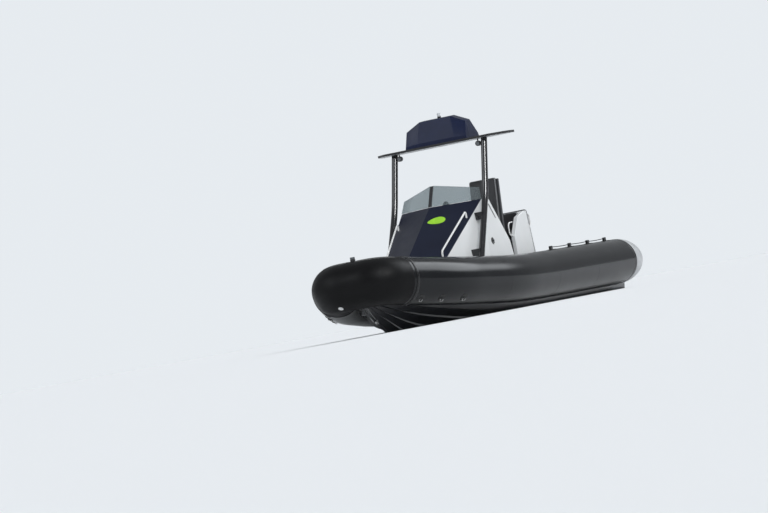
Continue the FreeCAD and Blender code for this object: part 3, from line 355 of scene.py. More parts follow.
# As shares of a cushion: the crown of a face, the dip of a seam, the pull of the sides, and the wrinkles.
PAD_CROWN = 0.15
SEAM_DIP = 0.20
SIDE_PULL = 0.010
WRINKLE = 0.02


def pad(name, place, half, material, body, seams=(), ribs=(), fill=0.7, cells=22):
    """A stuffed cushion: round edges, crowned faces, stitched seams and a piped edge.

    place turns shares from -1 to 1 across, along and through the cushion into a point. half is its half
    sizes along those. Seams run along it and ribs across it, each at a share.
    """
    wide, long, thick = half
    edge = min(PAD_EDGE, 0.72 * thick)

    def skin(spot):
        flat = [c * h for c, h in zip(spot, half)]
        core = [max(-(h - edge), min(h - edge, c)) for c, h in zip(flat, half)]
        off = Vector([c - k for c, k in zip(flat, core)])
        off = off.normalized() * edge if off.length > 1e-9 else off
        x, y, z = [(k + o) / h for k, o, h in zip(core, off, half)]
        dip = sum(math.exp(-(((x - line) * wide) / SEAM_HALF) ** 2) for line in seams)
        dip += sum(math.exp(-(((y - line) * long) / SEAM_HALF) ** 2) for line in ribs)
        crown = 1 - PAD_CROWN + PAD_CROWN * (1 - abs(x) ** 3) * (1 - abs(y) ** 3)
        crease = noise.noise(Vector((x * wide, y * long, z * thick)) * 14 + Vector(half) * 90) * WRINKLE
        pull = 1 - SIDE_PULL * (1 - y * y) * (abs(x) > 0.9) - SIDE_PULL * (1 - x * x) * (abs(y) > 0.9)
        return place(x * pull, y * pull, z * (crown * (1 - SEAM_DIP * min(1.0, dip)) + crease - WRINKLE))

    shares = [math.sin(math.pi / 2 * (2 * i / cells - 1)) for i in range(cells + 1)]
    points, faces = [], []
    for axis in range(3):
        for sign in (-1, 1):
            start = len(points)
            for a in shares:
                for b in shares:
                    spot = [0.0, 0.0, 0.0]
                    spot[axis] = sign
                    spot[(axis + 1) % 3] = a
                    spot[(axis + 2) % 3] = b
                    points.append(skin(spot))
            for i in range(cells):
                for j in range(cells):
                    a = start + i * (cells + 1) + j
                    faces.append((a, a + 1, a + cells + 2, a + cells + 1))
    points, faces = merged(points, faces)
    piece = make(name, points, faces, material, body=body, angle=80)
    border = rounded(2 * (wide - 0.004), 2 * (long - 0.004), edge, steps=4)
    line = [place(a / wide, b / long, 0.60) for a, b in border]
    sweep(name + "_piping", line, PIPING_RADIUS, PIPING, sides=6, closed=True, body=body)
    return piece


def rounded(width, height, radius, steps=5):
    """The outline of a rectangle with round corners."""
    made = []
    for k, (sx, sy) in enumerate(((1, 1), (-1, 1), (-1, -1), (1, -1))):
        for i in range(steps + 1):
            turn = math.pi / 2 * (k + i / steps)
            made.append((sx * (width / 2 - radius) + radius * math.cos(turn),
                         sy * (height / 2 - radius) + radius * math.sin(turn)))
    return made


def merged(points, faces, grid=1e-5):
    """Points that fall on each other become one, and faces that collapse are dropped."""
    seen, kept, index = {}, [], []
    for p in points:
        key = tuple(round(c / grid) for c in p)
        if key not in seen:
            seen[key] = len(kept)
            kept.append(p)
        index.append(seen[key])
    rings = [tuple(dict.fromkeys(index[k] for k in face)) for face in faces]
    return kept, [ring for ring in rings if len(ring) > 2]


def twin(point):
    """The same place on the other side of the boat."""
    return Vector((point[0], -point[1], point[2]))


def on_side(points, side):
    """Places of the port side as they are, or their twins for the starboard side."""
    return points if side > 0 else [twin(p) for p in points]


# Collar


def sheer(x):
    part = max(0.0, x - (BOW_REACH - SHEER_LENGTH)) / SHEER_LENGTH
    return COLLAR_HEIGHT + SHEER_RISE * part ** 2


def collar_side(x):
    part = max(0.0, x - (BOW_REACH - BOW_TAPER)) / BOW_TAPER
    return HALF_BEAM * math.sqrt(max(0.0, 1 - part ** 2))


def collar_corners():
    """Corners of the collar's axis to port, from the bow's middle to the tube's end."""
    shoulder = BOW_REACH - BOW_TAPER
    corners = [Vector((BOW_REACH, 0, sheer(BOW_REACH)))]
    for low, high in zip(TOUCH_ANGLES, TOUCH_ANGLES[1:]):
        middle = math.radians((low + high) / 2)
        half = math.radians((high - low) / 2)
        x = shoulder + BOW_TAPER * math.cos(middle) / math.cos(half)
        y = HALF_BEAM * math.sin(middle) / math.cos(half)
        corners.append(Vector((x, y, sheer(min(x, BOW_REACH)))))
    corners.append(Vector((BOW_REACH - SHEER_LENGTH, HALF_BEAM, COLLAR_HEIGHT)))
    corners.append(Vector((TUBE_START, HALF_BEAM, COLLAR_HEIGHT)))
    return corners


corners = collar_corners()
nose_corner = corners[1]
nose_run = (corners[2] - nose_corner).normalized()
seam = nose_corner + nose_run * nose_corner.y
stem_top = Vector((BOW_REACH, 0, nose_corner.z))
port_axis = bend([seam] + corners[2:], step=0.06)
nose_half = bend([stem_top, nose_corner, seam], step=0.03)
nose_axis = [twin(p) for p in reversed(nose_half)] + nose_half[1:]
whole_axis = [twin(p) for p in reversed(port_axis)] + nose_axis[1:-1] + port_axis


# How far patches reach into the collar, and the count of sides of its tubes.
PATCH_ROOT = 0.004
TUBE_SIDES = 72


def index_at(path, share):
    """The index of an inner point of a path at a share of its run."""
    return min(len(path) - 2, max(1, int(share * (len(path) - 1))))


def tube_patch(path, start, stop, half_angle, lift, cells=20):
    """A patch along the top of the collar between two shares of a path, lifted off the tube."""
    first, last = int(start * (len(path) - 1)), int(stop * (len(path) - 1))
    angles = [half_angle * (2 * j / cells - 1) for j in range(cells + 1)]
    spots = [(TUBE_SURFACE - PATCH_ROOT, a) for a in angles]
    spots += [(TUBE_SURFACE + lift, a) for a in reversed(angles)]
    rings = []
    for middle, (_, side, cross) in list(zip(path, frames_along(path)))[first:last + 1]:
        rings.append([middle + (side * math.cos(a) + cross * math.sin(a)) * reach for reach, a in spots])
    return rings_to_mesh(rings)


def band(name, path, share, width, lift, material):
    """A raised band round the collar at a share of its run, its edges rounded off."""
    index = index_at(path, share)
    run = frames_along(path)[index][0]
    half, top = width / 2, TUBE_SURFACE + lift
    outline = [(-half, TUBE_SURFACE - 0.002), (0.002 - half, top - 0.3 * lift), (0.008 - half, top)]
    outline += [(-along, radius) for along, radius in reversed(outline)]
    return turned(name, outline, path[index], run, material, sides=TUBE_SIDES, slot="collar")


def cone_outline():
    """A tube's end cone, from the end of the tube to the blunt tip."""
    outline = [(-0.002, TUBE_SURFACE - 0.001)]
    steps = 12
    for i in range(steps + 1):
        share = i / steps
        fall = math.cos(share * math.pi / 2) ** 0.75
        outline.append((share * (CONE_LENGTH - 0.03), CONE_END + (TUBE_SURFACE - CONE_END) * fall))
    return outline + [(CONE_LENGTH - 0.012, CONE_END * 0.86), (CONE_LENGTH - 0.001, CONE_END * 0.55)]


def build_collar():
    """The tubes, their bands and cones."""
    nose = sweep("bow_collar", nose_axis, TUBE_SURFACE, BOW_FABRIC, sides=TUBE_SIDES, slot="collar")
    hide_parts("bow_tube")
    for word, side in SIDES:
        path = on_side(port_axis, side)
        tube = sweep(word + "_collar", path, TUBE_SURFACE, COLLAR, sides=TUBE_SIDES, slot="collar")
        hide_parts(word + "_tube")
        band(word + "_seam_band", path, 0.012, 0.050, 0.008, BAND)
        for i, share in enumerate((0.30, 0.55, 0.78)):
            band("%s_baffle_band_%d" % (word, i), path, share, 0.030, 0.0010, COLLAR)
        cone = turned(word + "_tail_cone", cone_outline(), path[-1], -FORWARD, CONE, sides=64, slot="cone")
        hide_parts(word + "_cone")
        band(word + "_cone_band", path, 0.9999, 0.050, 0.0010, BAND)


def on_collar(path, share, way):
    """The point on the collar at a share of a path, towards a direction, with its normal and run."""
    index = index_at(path, share)
    run = (path[index + 1] - path[index - 1]).normalized()
    normal = (Vector(way) - run * Vector(way).dot(run)).normalized()
    return path[index] + normal * TUBE_SURFACE, normal, run


def wrapped_disc(name, point, normal, along, radius, height, material):
    """A round patch glued to the collar, bent round the tube."""
    across = normal.cross(along)
    core = point - normal * TUBE_SURFACE
    # Rings from the middle outwards. Columns: share of the radius, lift off the tube.
    profile = [(k / 5, height) for k in range(5)]
    profile += [(0.97, height), (1.0, height * 0.5), (1.0, -0.003)]
    rings = []
    for share, lift in profile:
        ring = []
        for turn in turns(36):
            bent = radius * share * math.sin(turn) / TUBE_SURFACE
            out = normal * math.cos(bent) + across * math.sin(bent)
            ring.append(core + along * (radius * share * math.cos(turn)) + out * (TUBE_SURFACE + lift))
        rings.append(ring)
    points, faces = merged(*rings_to_mesh(rings, caps=False))
    return make(name, points, faces, material, slot="collar")


def ring_fitting(name, point, normal, along, hang, flat=False):
    """A patch, flat or bent round the collar, with a strap and a steel ring."""
    along = (along - normal * along.dot(normal)).normalized()
    if flat:
        outline = ((-0.004, 0.050), (0.003, 0.050), (0.006, 0.044), (0.007, 0.002))
        turned(name + "_patch", outline, point, normal, RUBBER, sides=32)
    else:
        wrapped_disc(name + "_patch", point, normal, along, 0.062, 0.004, RUBBER)
    strap = ((-0.022, 0.011), (0.022, 0.011))
    turned(name + "_strap", strap, point + normal * 0.010, along, BAND, sides=16)
    middle = point + normal * 0.012 + hang * 0.026
    loop = [middle + hang * (0.030 * math.cos(t)) + along * (0.028 * math.sin(t)) for t in turns(32)]
    sweep(name + "_ring", loop, 0.0042, STEEL, sides=10, closed=True)


def build_bow_fittings():
    """Step pads and a pale disc on the bow tube."""
    for k, (start, stop) in enumerate(((0.10, 0.45), (0.55, 0.90))):
        points, faces = tube_patch(nose_axis, start, stop, 0.42, 0.0022)
        make("bow_step_pad_%d" % k, points, faces, STEP_PAD)
    point, normal, _ = on_collar(nose_axis, 0.36, (0.55, 0.0, -0.80))
    disc = ((-0.010, 0.036), (0.004, 0.036), (0.006, 0.030), (0.0065, 0.002))
    turned("tow_disc", disc, point, normal, WHITE, sides=32)


def build_tube_fittings():
    """Valves and hanging rings on the side tubes."""
    valve = ((-0.010, 0.040), (0.003, 0.040), (0.006, 0.034), (0.006, 0.026), (0.010, 0.024), (0.011, 0.002))
    for word, side in SIDES:
        path = on_side(port_axis, side)
        for k, share in enumerate((0.22, 0.62)):
            point, normal, _ = on_collar(path, share, (0, -side * 0.8, 0.6))
            turned("%s_valve_%d" % (word, k), valve, point, normal, BLACK_SATIN, sides=32)
        for k, share in enumerate((0.03, 0.09, 0.15)):
            point, normal, run = on_collar(path, share, (0, side * 0.62, -0.78))
            hang = (normal * normal.z - UP).normalized()
            ring_fitting("%s_ring_%d" % (word, k), point, normal, run, hang)


build_collar()
build_bow_fittings()
build_tube_fittings()


# Hull

# Stations from the transom to the stem's head. Columns: share of the length, keel's rise, half beam
# of the chine as a share, height of the chine, rise of the deck.
STATIONS = (
    (0.000, 0.000, 1.00, 0.000, 0.000),
    (0.180, 0.000, 1.00, 0.000, 0.000),
    (0.360, 0.000, 1.00, 0.000, 0.000),
    (0.520, 0.005, 0.99, 0.012, 0.000),
    (0.640, 0.018, 0.93, 0.055, 0.000),
    (0.740, 0.052, 0.79, 0.135, 0.000),
    (0.800, 0.092, 0.66, 0.205, 0.000),
    (0.850, 0.155, 0.53, 0.270, 0.000),
    (0.890, 0.272, 0.40, 0.325, 0.110),
    (0.940, 0.490, 0.27, 0.385, 0.180),
    (0.975, 0.650, 0.16, 0.440, 0.230),
    (1.000, 0.820, 0.07, 0.475, 0.260),
)
STRAKE_SHARES = (0.27, 0.50, 0.73)


def fair(share, column):
    """A smooth curve through one column of the stations that never overshoots them."""
    xs = [row[0] for row in STATIONS]
    ys = [row[column] for row in STATIONS]
    slopes = [(ys[i + 1] - ys[i]) / (xs[i + 1] - xs[i]) for i in range(len(xs) - 1)]
    ends = [slopes[0]] + [0.0 if a * b <= 0 else 2 * a * b / (a + b) for a, b in zip(slopes, slopes[1:])]
    ends.append(slopes[-1])
    i = max(k for k in range(len(xs) - 1) if xs[k] <= share or k == 0)
    span = xs[i + 1] - xs[i]
    t = (share - xs[i]) / span
    h00, h10 = (1 + 2 * t) * (1 - t) ** 2, t * (1 - t) ** 2
    h01, h11 = t * t * (3 - 2 * t), t * t * (t - 1)
    return h00 * ys[i] + h10 * span * ends[i] + h01 * ys[i + 1] + h11 * span * ends[i + 1]


def hull_side(share):
    """Port half of a cross-section, from the keel to the deck's edge, as (y, z)."""
    x = share * HULL_LENGTH
    keel = -KEEL_DEPTH + fair(share, 1)
    chine_share = fair(share, 2)
    half_beam = chine_share * CHINE_HALF_BEAM
    chine_height = fair(share, 3)
    deck = DECK_HEIGHT + fair(share, 4)
    size = max(0.12, chine_share)
    slope = (chine_height - keel) / half_beam

    def bottom(y):
        return keel + slope * y

    side = [(0.0, keel)]
    for strake in STRAKE_SHARES:
        y = strake * half_beam
        width = STRAKE_WIDTH * size
        side += [(y, bottom(y)), (y + width, bottom(y)), (y + width, bottom(y + width))]
    flat = half_beam - CHINE_FLAT * size
    side += [(flat, bottom(flat)), (half_beam, bottom(flat))]
    out, up = collar_side(x) - half_beam, sheer(x) - chine_height
    climb = min(1 - 0.8 * TUBE_RADIUS / math.hypot(out, up), 0.6 * (deck - chine_height) / up)
    side.append((half_beam + out * climb, chine_height + up * climb))
    side.append((collar_side(x) - 0.5 * TUBE_RADIUS, deck))
    return side


HULL_ROWS = 90
# How much closer the hull's rows of points lie at its ends, as a share of their even distance.
ROW_CROWDING = 0.21
# The engine's well: its reach along and across the boat, and its floor.
WELL = ((0.560, 1.610), (-0.430, 0.430), -0.130)
SOLE_LIFT = 0.0005


def row_places():
    """Shares of the hull's length at which its skin has a row of points."""
    even = [i / HULL_ROWS for i in range(HULL_ROWS + 1)]
    return [r - ROW_CROWDING * math.sin(2 * math.pi * r) / (2 * math.pi) for r in even]


def build_hull_skin():
    """The skin with its strakes and the transom."""
    rings = []
    for share in row_places():
        port = [Vector((share * HULL_LENGTH, y, z)) for y, z in hull_side(share)]
        rings.append(port + [twin(p) for p in reversed(port[1:])])
    points, faces = rings_to_mesh(rings)
    # The strip between the two edges of the deck is left out, because the sole closes it.
    count = len(rings[0])
    faces = [face for i, face in enumerate(faces) if i % count != count // 2]
    skin = make("hull_skin", points, faces, HULL, angle=24, slot="hull")
    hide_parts("hull")


def build_sole():
    """The sole, open over the engine's well, and the lining of the well."""
    (x0, x1), (y0, y1), floor = WELL
    stations = sorted([share * HULL_LENGTH for share in row_places()] + [x0, x1])
    points, faces = [], []
    for x in stations:
        y, z = hull_side(min(1.0, x / HULL_LENGTH))[-1]
        edge = y0 if y > y1 else -y * 0.9
        points += [Vector((x, side, z + SOLE_LIFT)) for side in (-y, edge, -edge, y)]
    for i, x in enumerate(stations[:-1]):
        middle = (x + stations[i + 1]) / 2
        for j in range(3):
            if j == 1 and x0 < middle < x1:
                continue
            faces.append((4 * i + j, 4 * i + j + 1, 4 * i + j + 5, 4 * i + j + 4))
    make("deck_sole", points, faces, DECK, slot="hull")
    base = [(x0, y0), (x1, y0), (x1, y1), (x0, y1)]
    points = [Vector((x, y, z)) for z in (DECK_HEIGHT, floor) for x, y in base]
    faces = [(4, 5, 6, 7)] + [(i, (i + 1) % 4, (i + 1) % 4 + 4, i + 4) for i in range(4)]
    make("engine_well_lining", points, faces, WHITE)


build_hull_skin()
build_sole()


def nearest_core(point):
    """The nearest point of the whole collar's axis."""
    return min(whole_axis, key=lambda core: (core - point).length)


def joint_line(start, stop, count, lift):
    """Where the topside meets the port tube, as a line just off the surface."""
    outward = Vector((0, 1, -0.35)).normalized()
    steps = 40
    line = []
    for i in range(count + 1):
        share = start + (stop - start) * i / count
        low_point, high_point, past = [Vector((share * HULL_LENGTH, y, z)) for y, z in hull_side(share)[-3:]]
        runs = [low_point.lerp(high_point, k / steps) for k in range(steps + 1)]
        runs += [high_point.lerp(past, k / steps) for k in range(1, steps + 1)]
        touch = next((p for p in runs if (p - nearest_core(p)).length < TUBE_RADIUS + 0.004), high_point)
        line.append(touch + outward * lift)
    return line


def build_joint():
    """The flange strip over the glue line between hull and collar, with its bolts near the bow."""
    for word, side in SIDES:
        strip = on_side(joint_line(0.02, 0.965, 60, 0.004), side)
        sweep(word + "_flange_strip", strip, 0.011, BAND, sides=8, slot="collar")
        places = []
        for point in joint_line(0.900, 0.975, 12, 0.001):
            core = nearest_core(point)
            normal = ((point - core).normalized() + UP * 0.10).normalized()
            places.append(on_side([core + normal * TUBE_SURFACE, normal], side))
        studs(word + "_joint_bolts", places, 0.009, 0.006, STEEL)


build_joint()


# Dark non-slip panels of the sole. Columns: word, aft end, front end, middle across, width.
DECK_PANELS = (
    ("aft", 0.05, 0.41, 0.0, 1.10),
    ("port_aft", 0.46, 1.74, 0.690, 0.20),
    ("starboard_aft", 0.46, 1.74, -0.690, 0.20),
    ("middle", 1.82, 2.31, 0.0, 1.20),
    ("footwell", 3.58, 4.00, 0.0, 1.10),
)


def build_deck_panels():
    """Panels with round corners, let into the sole."""
    for word, start, stop, middle, width in DECK_PANELS:
        centre = Vector(((start + stop) / 2, middle, DECK_HEIGHT + 0.0008))
        outline = [centre + Vector((a, b, 0)) for a, b in rounded(stop - start, width, 0.03)]
        slab(word + "_deck_panel", outline, (0, 0, 0.0022), DECK_DARK)


build_deck_panels()


# Helpers that read places off the CAD nodes


def cast(node, start, way):
    """The point and outward normal where a ray first meets a node."""
    hit, point, normal, _ = nodes[node].ray_cast(Vector(start), Vector(way).normalized())
    if not hit:
        raise ValueError("no surface of %s there" % node)
    if normal.dot(Vector(way)) > 0:
        normal = -normal
    return point, normal


def solids_of(node):
    """The corner points of each separate solid of a node, in the order of the mesh."""
    work = bmesh.new()
    work.from_mesh(nodes[node].data)
    bmesh.ops.remove_doubles(work, verts=work.verts, dist=1e-5)
    left = set(work.verts)
    groups = []
    for start in work.verts:
        if start not in left:
            continue
        left.remove(start)
        stack, group = [start], []
        while stack:
            vert = stack.pop()
            group.append(vert.co.copy())
            for edge in vert.link_edges:
                other = edge.other_vert(vert)
                if other in left:
                    left.remove(other)
                    stack.append(other)
        groups.append(group)
    work.free()
    return groups


def wedge_of(points, outward):
    """The block that a cushion fills, from its corner points.

    Gives a function of shares from -1 to 1 across, along and through the block, and its half sizes. The
    share through it grows outward. The block has a four-cornered outline seen from the side, and the same
    width everywhere.
    """
    starboard, port = min(p.y for p in points), max(p.y for p in points)
    outline = [p for p in points if abs(p.y - starboard) < 1e-3]
    middle = sum(outline, Vector()) / len(outline)
    outline.sort(key=lambda p: math.atan2(p.z - middle.z, p.x - middle.x))
    # The corners go round the outline, and the first two are made the ends of a short side.
    if (outline[0] - outline[1]).length > (outline[1] - outline[2]).length:
        outline.append(outline.pop(0))
    first, mate, other, second = outline
    if (mate - first).dot(outward) < 0:
        first, mate, second, other = mate, first, other, second

    def place(x, y, z):
        near, far = first.lerp(mate, (z + 1) / 2), second.lerp(other, (z + 1) / 2)
        point = near.lerp(far, (y + 1) / 2)
        point.y = starboard + (port - starboard) * (x + 1) / 2
        return point

    wide = (port - starboard) / 2
    long = (place(0, 1, 0) - place(0, -1, 0)).length / 2
    thick = (place(0, 0, 1) - place(0, 0, -1)).length / 2
    return place, (wide, long, thick)


def patch_on(name, node, start, way, along, outline, material, lift=0.0015, body="boat"):
    """A thin patch that follows a node's surface, round the place where a ray from start meets it.

    The outline holds (along, across) from that place.
    """
    point, normal = cast(node, start, way)
    along = Vector(along)
    along = (along - normal * along.dot(normal)).normalized()
    across = normal.cross(along)
    steps = 5
    rings = []
    for k in range(steps + 1):
        ring = []
        for a, b in outline:
            spot = point + along * (a * k / steps) + across * (b * k / steps) + normal * 0.05
            hit, _ = cast(node, spot, -normal)
            ring.append(hit + normal * lift)
        rings.append(ring)
    points, faces = merged(*rings_to_mesh(rings, caps=False))
    return make(name, points, faces, material, body=body)


# Looks of the CAD nodes

# Nodes that keep their own mesh. Columns: material, width of the rounded edges, names.
NODE_LOOKS = (
    (WHITE, 0.014, "console"),
    (WHITE, 0.012, "bench"),
    (WHITE, 0.010, "engine_casing"),
    (WHITE, 0.008, "bow_locker"),
    (WHITE, 0.006, "engine_hatch locker_lid cuddy_door"),
    (WHITE_TUBE, 0, "console_rails"),
    (COVER, 0.006, "console_cover"),
    (POD, 0.004, "roof_pod"),
    (GLASS, 0.002, "windscreen_port windscreen_starboard"),
    (BLACK_SATIN, 0.006, "windscreen_post"),
    (BLACK_SATIN, 0.004, "instrument_panel"),
    (BLACK_SATIN, 0.003, "arch_wing"),
    (BLACK_SATIN, 0.002, "wheel_column"),
    (BLACK_SATIN, 0.001, "arch_lamps"),
    (BLACK_GLOSS, 0.003, "throttle"),
    (BLACK_GLOSS, 0, "port_leg starboard_leg"),
    (VINYL, 0, "steering_wheel"),
    (SHELL, 0.012, "helm_seat navigator_seat"),
    (LENS, 0, "mast_light"),
    (LAMP_GLASS, 0, "bow_light"),
    (STEEL, 0.002, "bow_eye"),
    (DRIVE, 0.006, "drive_mount"),
    (DRIVE, 0.005, "drive_yoke"),
    (DRIVE, 0.009, "drive_leg"),
    (BRONZE, 0, "propeller_front propeller_rear"),
)


def paint(name, material, width):
    """Gives a CAD node its material and rounded edges."""
    node = nodes[name]
    node.data.materials.clear()
    node.data.materials.append(material)
    if width:
        soften(node, width, weld=True)


def repaint(name, material, chosen):
    """Gives the faces that are chosen of a CAD node a second material."""
    mesh = nodes[name].data
    mesh.materials.append(material)
    for polygon in mesh.polygons:
        if chosen(polygon):
            polygon.material_index = 1


for material, width, names in NODE_LOOKS:
    for name in names.split():
        paint(name, material, width)


# Console

# The dash: the way up its slope, the way out of it, its foot, and the hub of the steering wheel.
DASH_UP = Vector((0.38806, 0, 0.92163))
DASH_OUT = Vector((-0.92163, 0, 0.38806))
DASH_FOOT = Vector((3.900, 0, 1.180))
WHEEL_HUB = Vector((3.872351, 0.38, 1.397797))


def leaf(length, width):
    """The outline of a rounded leaf, fuller at one end and leaning to one side."""
    made = []
    for turn in turns(36):
        fullness = 1 + 0.28 * math.cos(turn)
        lean = 0.25 * math.cos(turn)
        made.append((length / 2 * math.cos(turn), width / 2 * (math.sin(turn) * fullness + lean)))
    return made


def build_console_marks():
    """The green mark on the cover, and on each side of the console a black patch that paints the shade inside
    its cut-out slot.
    """
    patch_on("green_mark", "console_cover", (4.58, 0.165, 2.4), (0, 0, -1), (-0.50, 0.86, 0),
             leaf(0.27, 0.15), GREEN)
    for word, side in SIDES:
        # Painted shade: the slot is not cut; a thin black patch on the side stands for the shade inside it.
        patch_on(word + "_side_slot_painted_shade", "console", (3.665, side * 1.2, 1.46), (0, -side, 0), (0.535, 0, 0.845),
                 rounded(0.26, 0.026, 0.012), BLACK_SATIN)


def on_dash(y, up, out=0.0):
    """A place on the instrument panel's face."""
    face = max(v.co.dot(DASH_OUT) for v in nodes["instrument_panel"].data.vertices)
    foot = DASH_FOOT + DASH_OUT * (face - DASH_FOOT.dot(DASH_OUT))
    return foot + DASH_UP * up + DASH_OUT * out + Vector((0, y, 0))


def dash_plate(name, y, up, width, height, thick, material, radius=0.008, out=0.0):
    """A flat piece with round corners on the instrument panel, or on another piece there."""
    outline = [on_dash(y + a, up + b, out) for a, b in rounded(width, height, radius)]
    piece = slab(name, outline, DASH_OUT * thick, material)
    soften(piece, min(0.002, thick / 3), 2)


def dash_turned(name, y, up, outline, material, sides=32):
    """A turned piece that stands on the instrument panel."""
    turned(name, outline, on_dash(y, up), DASH_OUT, material, sides=sides)


# Screens. Columns: place across, place up the slope, width, height.
SCREENS = ((-0.150, 0.270, 0.250, 0.170), (-0.400, 0.290, 0.190, 0.130))
SCREEN_DEPTH = 0.018
# Dials. Columns: place across, place up the slope, radius.
DIALS = ((0.300, 0.345, 0.036), (0.385, 0.345, 0.042), (0.470, 0.345, 0.036), (0.155, 0.335, 0.030),
         (0.155, 0.260, 0.030))


def build_screens():
    """Two screens, each with its frame, glass and row of keys."""
    for i, (y, up, width, height) in enumerate(SCREENS):
        dash_plate("screen_frame_%d" % i, y, up, width, height, SCREEN_DEPTH, BLACK_GLOSS, 0.012)
        dash_plate("screen_glass_%d" % i, y, up + 0.006, width - 0.030, height - 0.036, 0.0015, SCREEN,
                   0.004, SCREEN_DEPTH)
        dash_plate("screen_keys_%d" % i, y, up - height / 2 + 0.009, width * 0.6, 0.007, 0.002, DIAL,
                   0.002, SCREEN_DEPTH)


def build_dials():
    """Round dials with a steel ring, a pale face and a hand."""
    for i, (y, up, radius) in enumerate(DIALS):
        inner = radius * 0.88
        ring = ((-0.002, radius), (0.010, radius), (0.012, radius * 0.94), (0.006, inner))
        dash_turned("dial_ring_%d" % i, y, up, ring, STEEL)
        dash_turned("dial_face_%d" % i, y, up, ((0.0, inner), (0.007, inner), (0.0072, 0.001)), DIAL)
        middle = on_dash(y, up, 0.0082)
        angle = i * 1.3 - 1.2
        way = (DASH_UP * math.cos(angle) + Vector((0, math.sin(angle), 0))) * radius * 0.7
        sweep("dial_hand_%d" % i, [middle - way * 0.15, middle + way], 0.0012, BLACK_GLOSS, sides=6)


def build_switches():
    """A row of seven switches with their lights, and two key switches."""
    for i in range(7):
        y = -0.460 + 0.052 * i
        dash_plate("switch_frame_%d" % i, y, 0.130, 0.036, 0.052, 0.004, BLACK_GLOSS, 0.005)
        dash_plate("switch_key_%d" % i, y, 0.133, 0.022, 0.036, 0.006, RUBBER, 0.003, 0.004)
        dash_plate("switch_light_%d" % i, y, 0.144, 0.008, 0.004, 0.0012, LENS, 0.001, 0.0098)
    lock = ((-0.002, 0.014), (0.008, 0.013), (0.009, 0.004), (0.013, 0.004))
    for i, y in enumerate((0.255, 0.300)):
        dash_turned("key_switch_%d" % i, y, 0.075, lock, STEEL, sides=20)


def on_spoke(polygon):
    """Whether a face of the steering wheel lies between its hub and its rim."""
    out = polygon.center - WHEEL_HUB
    out -= DASH_OUT * out.dot(DASH_OUT)
    return 0.034 < out.length < 0.157


def build_compass():
    """A compass on the console's top, under the windscreen."""
    point, _ = cast("console", (4.15, 0.17, 1.75), (0, 0, -1))
    foot = ((-0.004, 0.052), (0.018, 0.050), (0.022, 0.044))
    turned("compass_foot", foot, point, UP, BLACK_SATIN, sides=32)
    heights = [math.radians(a) for a in range(0, 90, 11)]
    dome = [(0.020 + 0.044 * math.sin(a), 0.044 * math.cos(a)) for a in heights]
    turned("compass_dome", dome, point, UP, SCREEN, sides=32)


build_console_marks()
build_screens()
build_dials()
build_switches()
repaint("steering_wheel", STEEL, on_spoke)
build_compass()


# Seats


def pads_of(node, material, body="boat", outward=Vector((1, 0, 1)), **rest):
    """A stuffed cushion in place of each block of a CAD node, piped at its outward face."""
    for i, points in enumerate(solids_of(node)):
        place, half = wedge_of(points, outward)
        cushion = pad("%s_%d" % (node, i), place, half, material, body, **rest)
        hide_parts(node)


# Grab loops of the bench. Columns: foot along the boat, reach, lower and upper end.
BENCH_GRABS = ((3.075, 0.11, 1.06, 1.25), (2.46, -0.10, 1.16, 1.33))


def build_seats():
    """Cushions of the two crew seats and of the bench, and the bench's grab loops."""
    for name in ("helm_seat", "navigator_seat"):
        pads_of(name + "_cushions", VINYL, ribs=(-0.45, 0.0, 0.45))
    pads_of("bench_cushions", VINYL, seams=(-0.33, 0.33))
    pads_of("bench_aft_pad", VINYL, outward=-FORWARD, seams=(-0.5, 0.0, 0.5))
    for word, side in SIDES:
        for k, (x, reach, low, high) in enumerate(BENCH_GRABS):
            corners = ((x, low), (x + reach, low + 0.01), (x + reach, high), (x - 0.05, high + 0.01))
            loop = bend([Vector((a, side * 0.660, b)) for a, b in corners], 0.42, 0.008)
            sweep("%s_bench_grab_%d" % (word, k), loop, 0.010, WHITE_TUBE, sides=12, slot="rail")


build_seats()


# Arch and lamps


def build_lamps():
    """Glass of the arch lamps, and the dark bands round the mast light and the bow light."""
    dome = ((-0.004, 0.033), (0.000, 0.032), (0.0025, 0.024), (0.0035, 0.002))
    for word, side in SIDES:
        turned(word + "_lamp_lens", dome, (3.698, side * 0.640, 2.465), FORWARD, LAMP_GLASS)
    mast_band = ((0.0, 0.0275), (0.018, 0.0275), (0.020, 0.0255))
    turned("mast_light_band", mast_band, (3.440, 0, 2.954), UP, BLACK_SATIN)
    bow_band = ((0.0, 0.0365), (0.034, 0.0365), (0.038, 0.033))
    turned("bow_light_band", bow_band, (BOW_REACH, 0, 1.054), UP, BLACK_SATIN)


# The faces of the wing that face down are a mid grey, paler than its black top.
repaint("arch_wing", WING_UNDERSIDE_GREY, lambda polygon: polygon.normal.z < -0.9)
build_lamps()


# Engine

MANIFOLD = ((0, 0.02), (0.012, 0.058), (0.03, 0.066), (0.57, 0.066), (0.588, 0.058), (0.60, 0.02))
# Belt pulleys. Columns: place across, height, radius.
PULLEYS = ((0.0, 0.02, 0.085), (0.0, 0.24, 0.060), (0.190, 0.22, 0.040), (-0.160, 0.12, 0.045))
# The belt's run round the pulleys, as (y, z).
BELT = ((-0.07, -0.04), (0.05, -0.045), (0.225, 0.20), (0.20, 0.258), (0.02, 0.300), (-0.04, 0.285),
        (-0.203, 0.14), (-0.19, 0.085))
COOLING_PIPES = (
    ((1.39, -0.255, 0.30), (1.44, -0.255, 0.30), (1.44, -0.20, 0.46), (1.44, 0.20, 0.46),
     (1.37, 0.245, 0.42)),
    ((0.90, -0.30, 0.10), (0.90, -0.33, 0.30), (1.20, -0.33, 0.36), (1.25, -0.30, 0.44)),
)


def bent_pipe(name, corners, share, step, radius, material, sides):
    """A pipe through corners, rounded by a share of the runs that meet there."""
    return sweep(name, bend([Vector(p) for p in corners], share, step), radius, material, sides=sides)


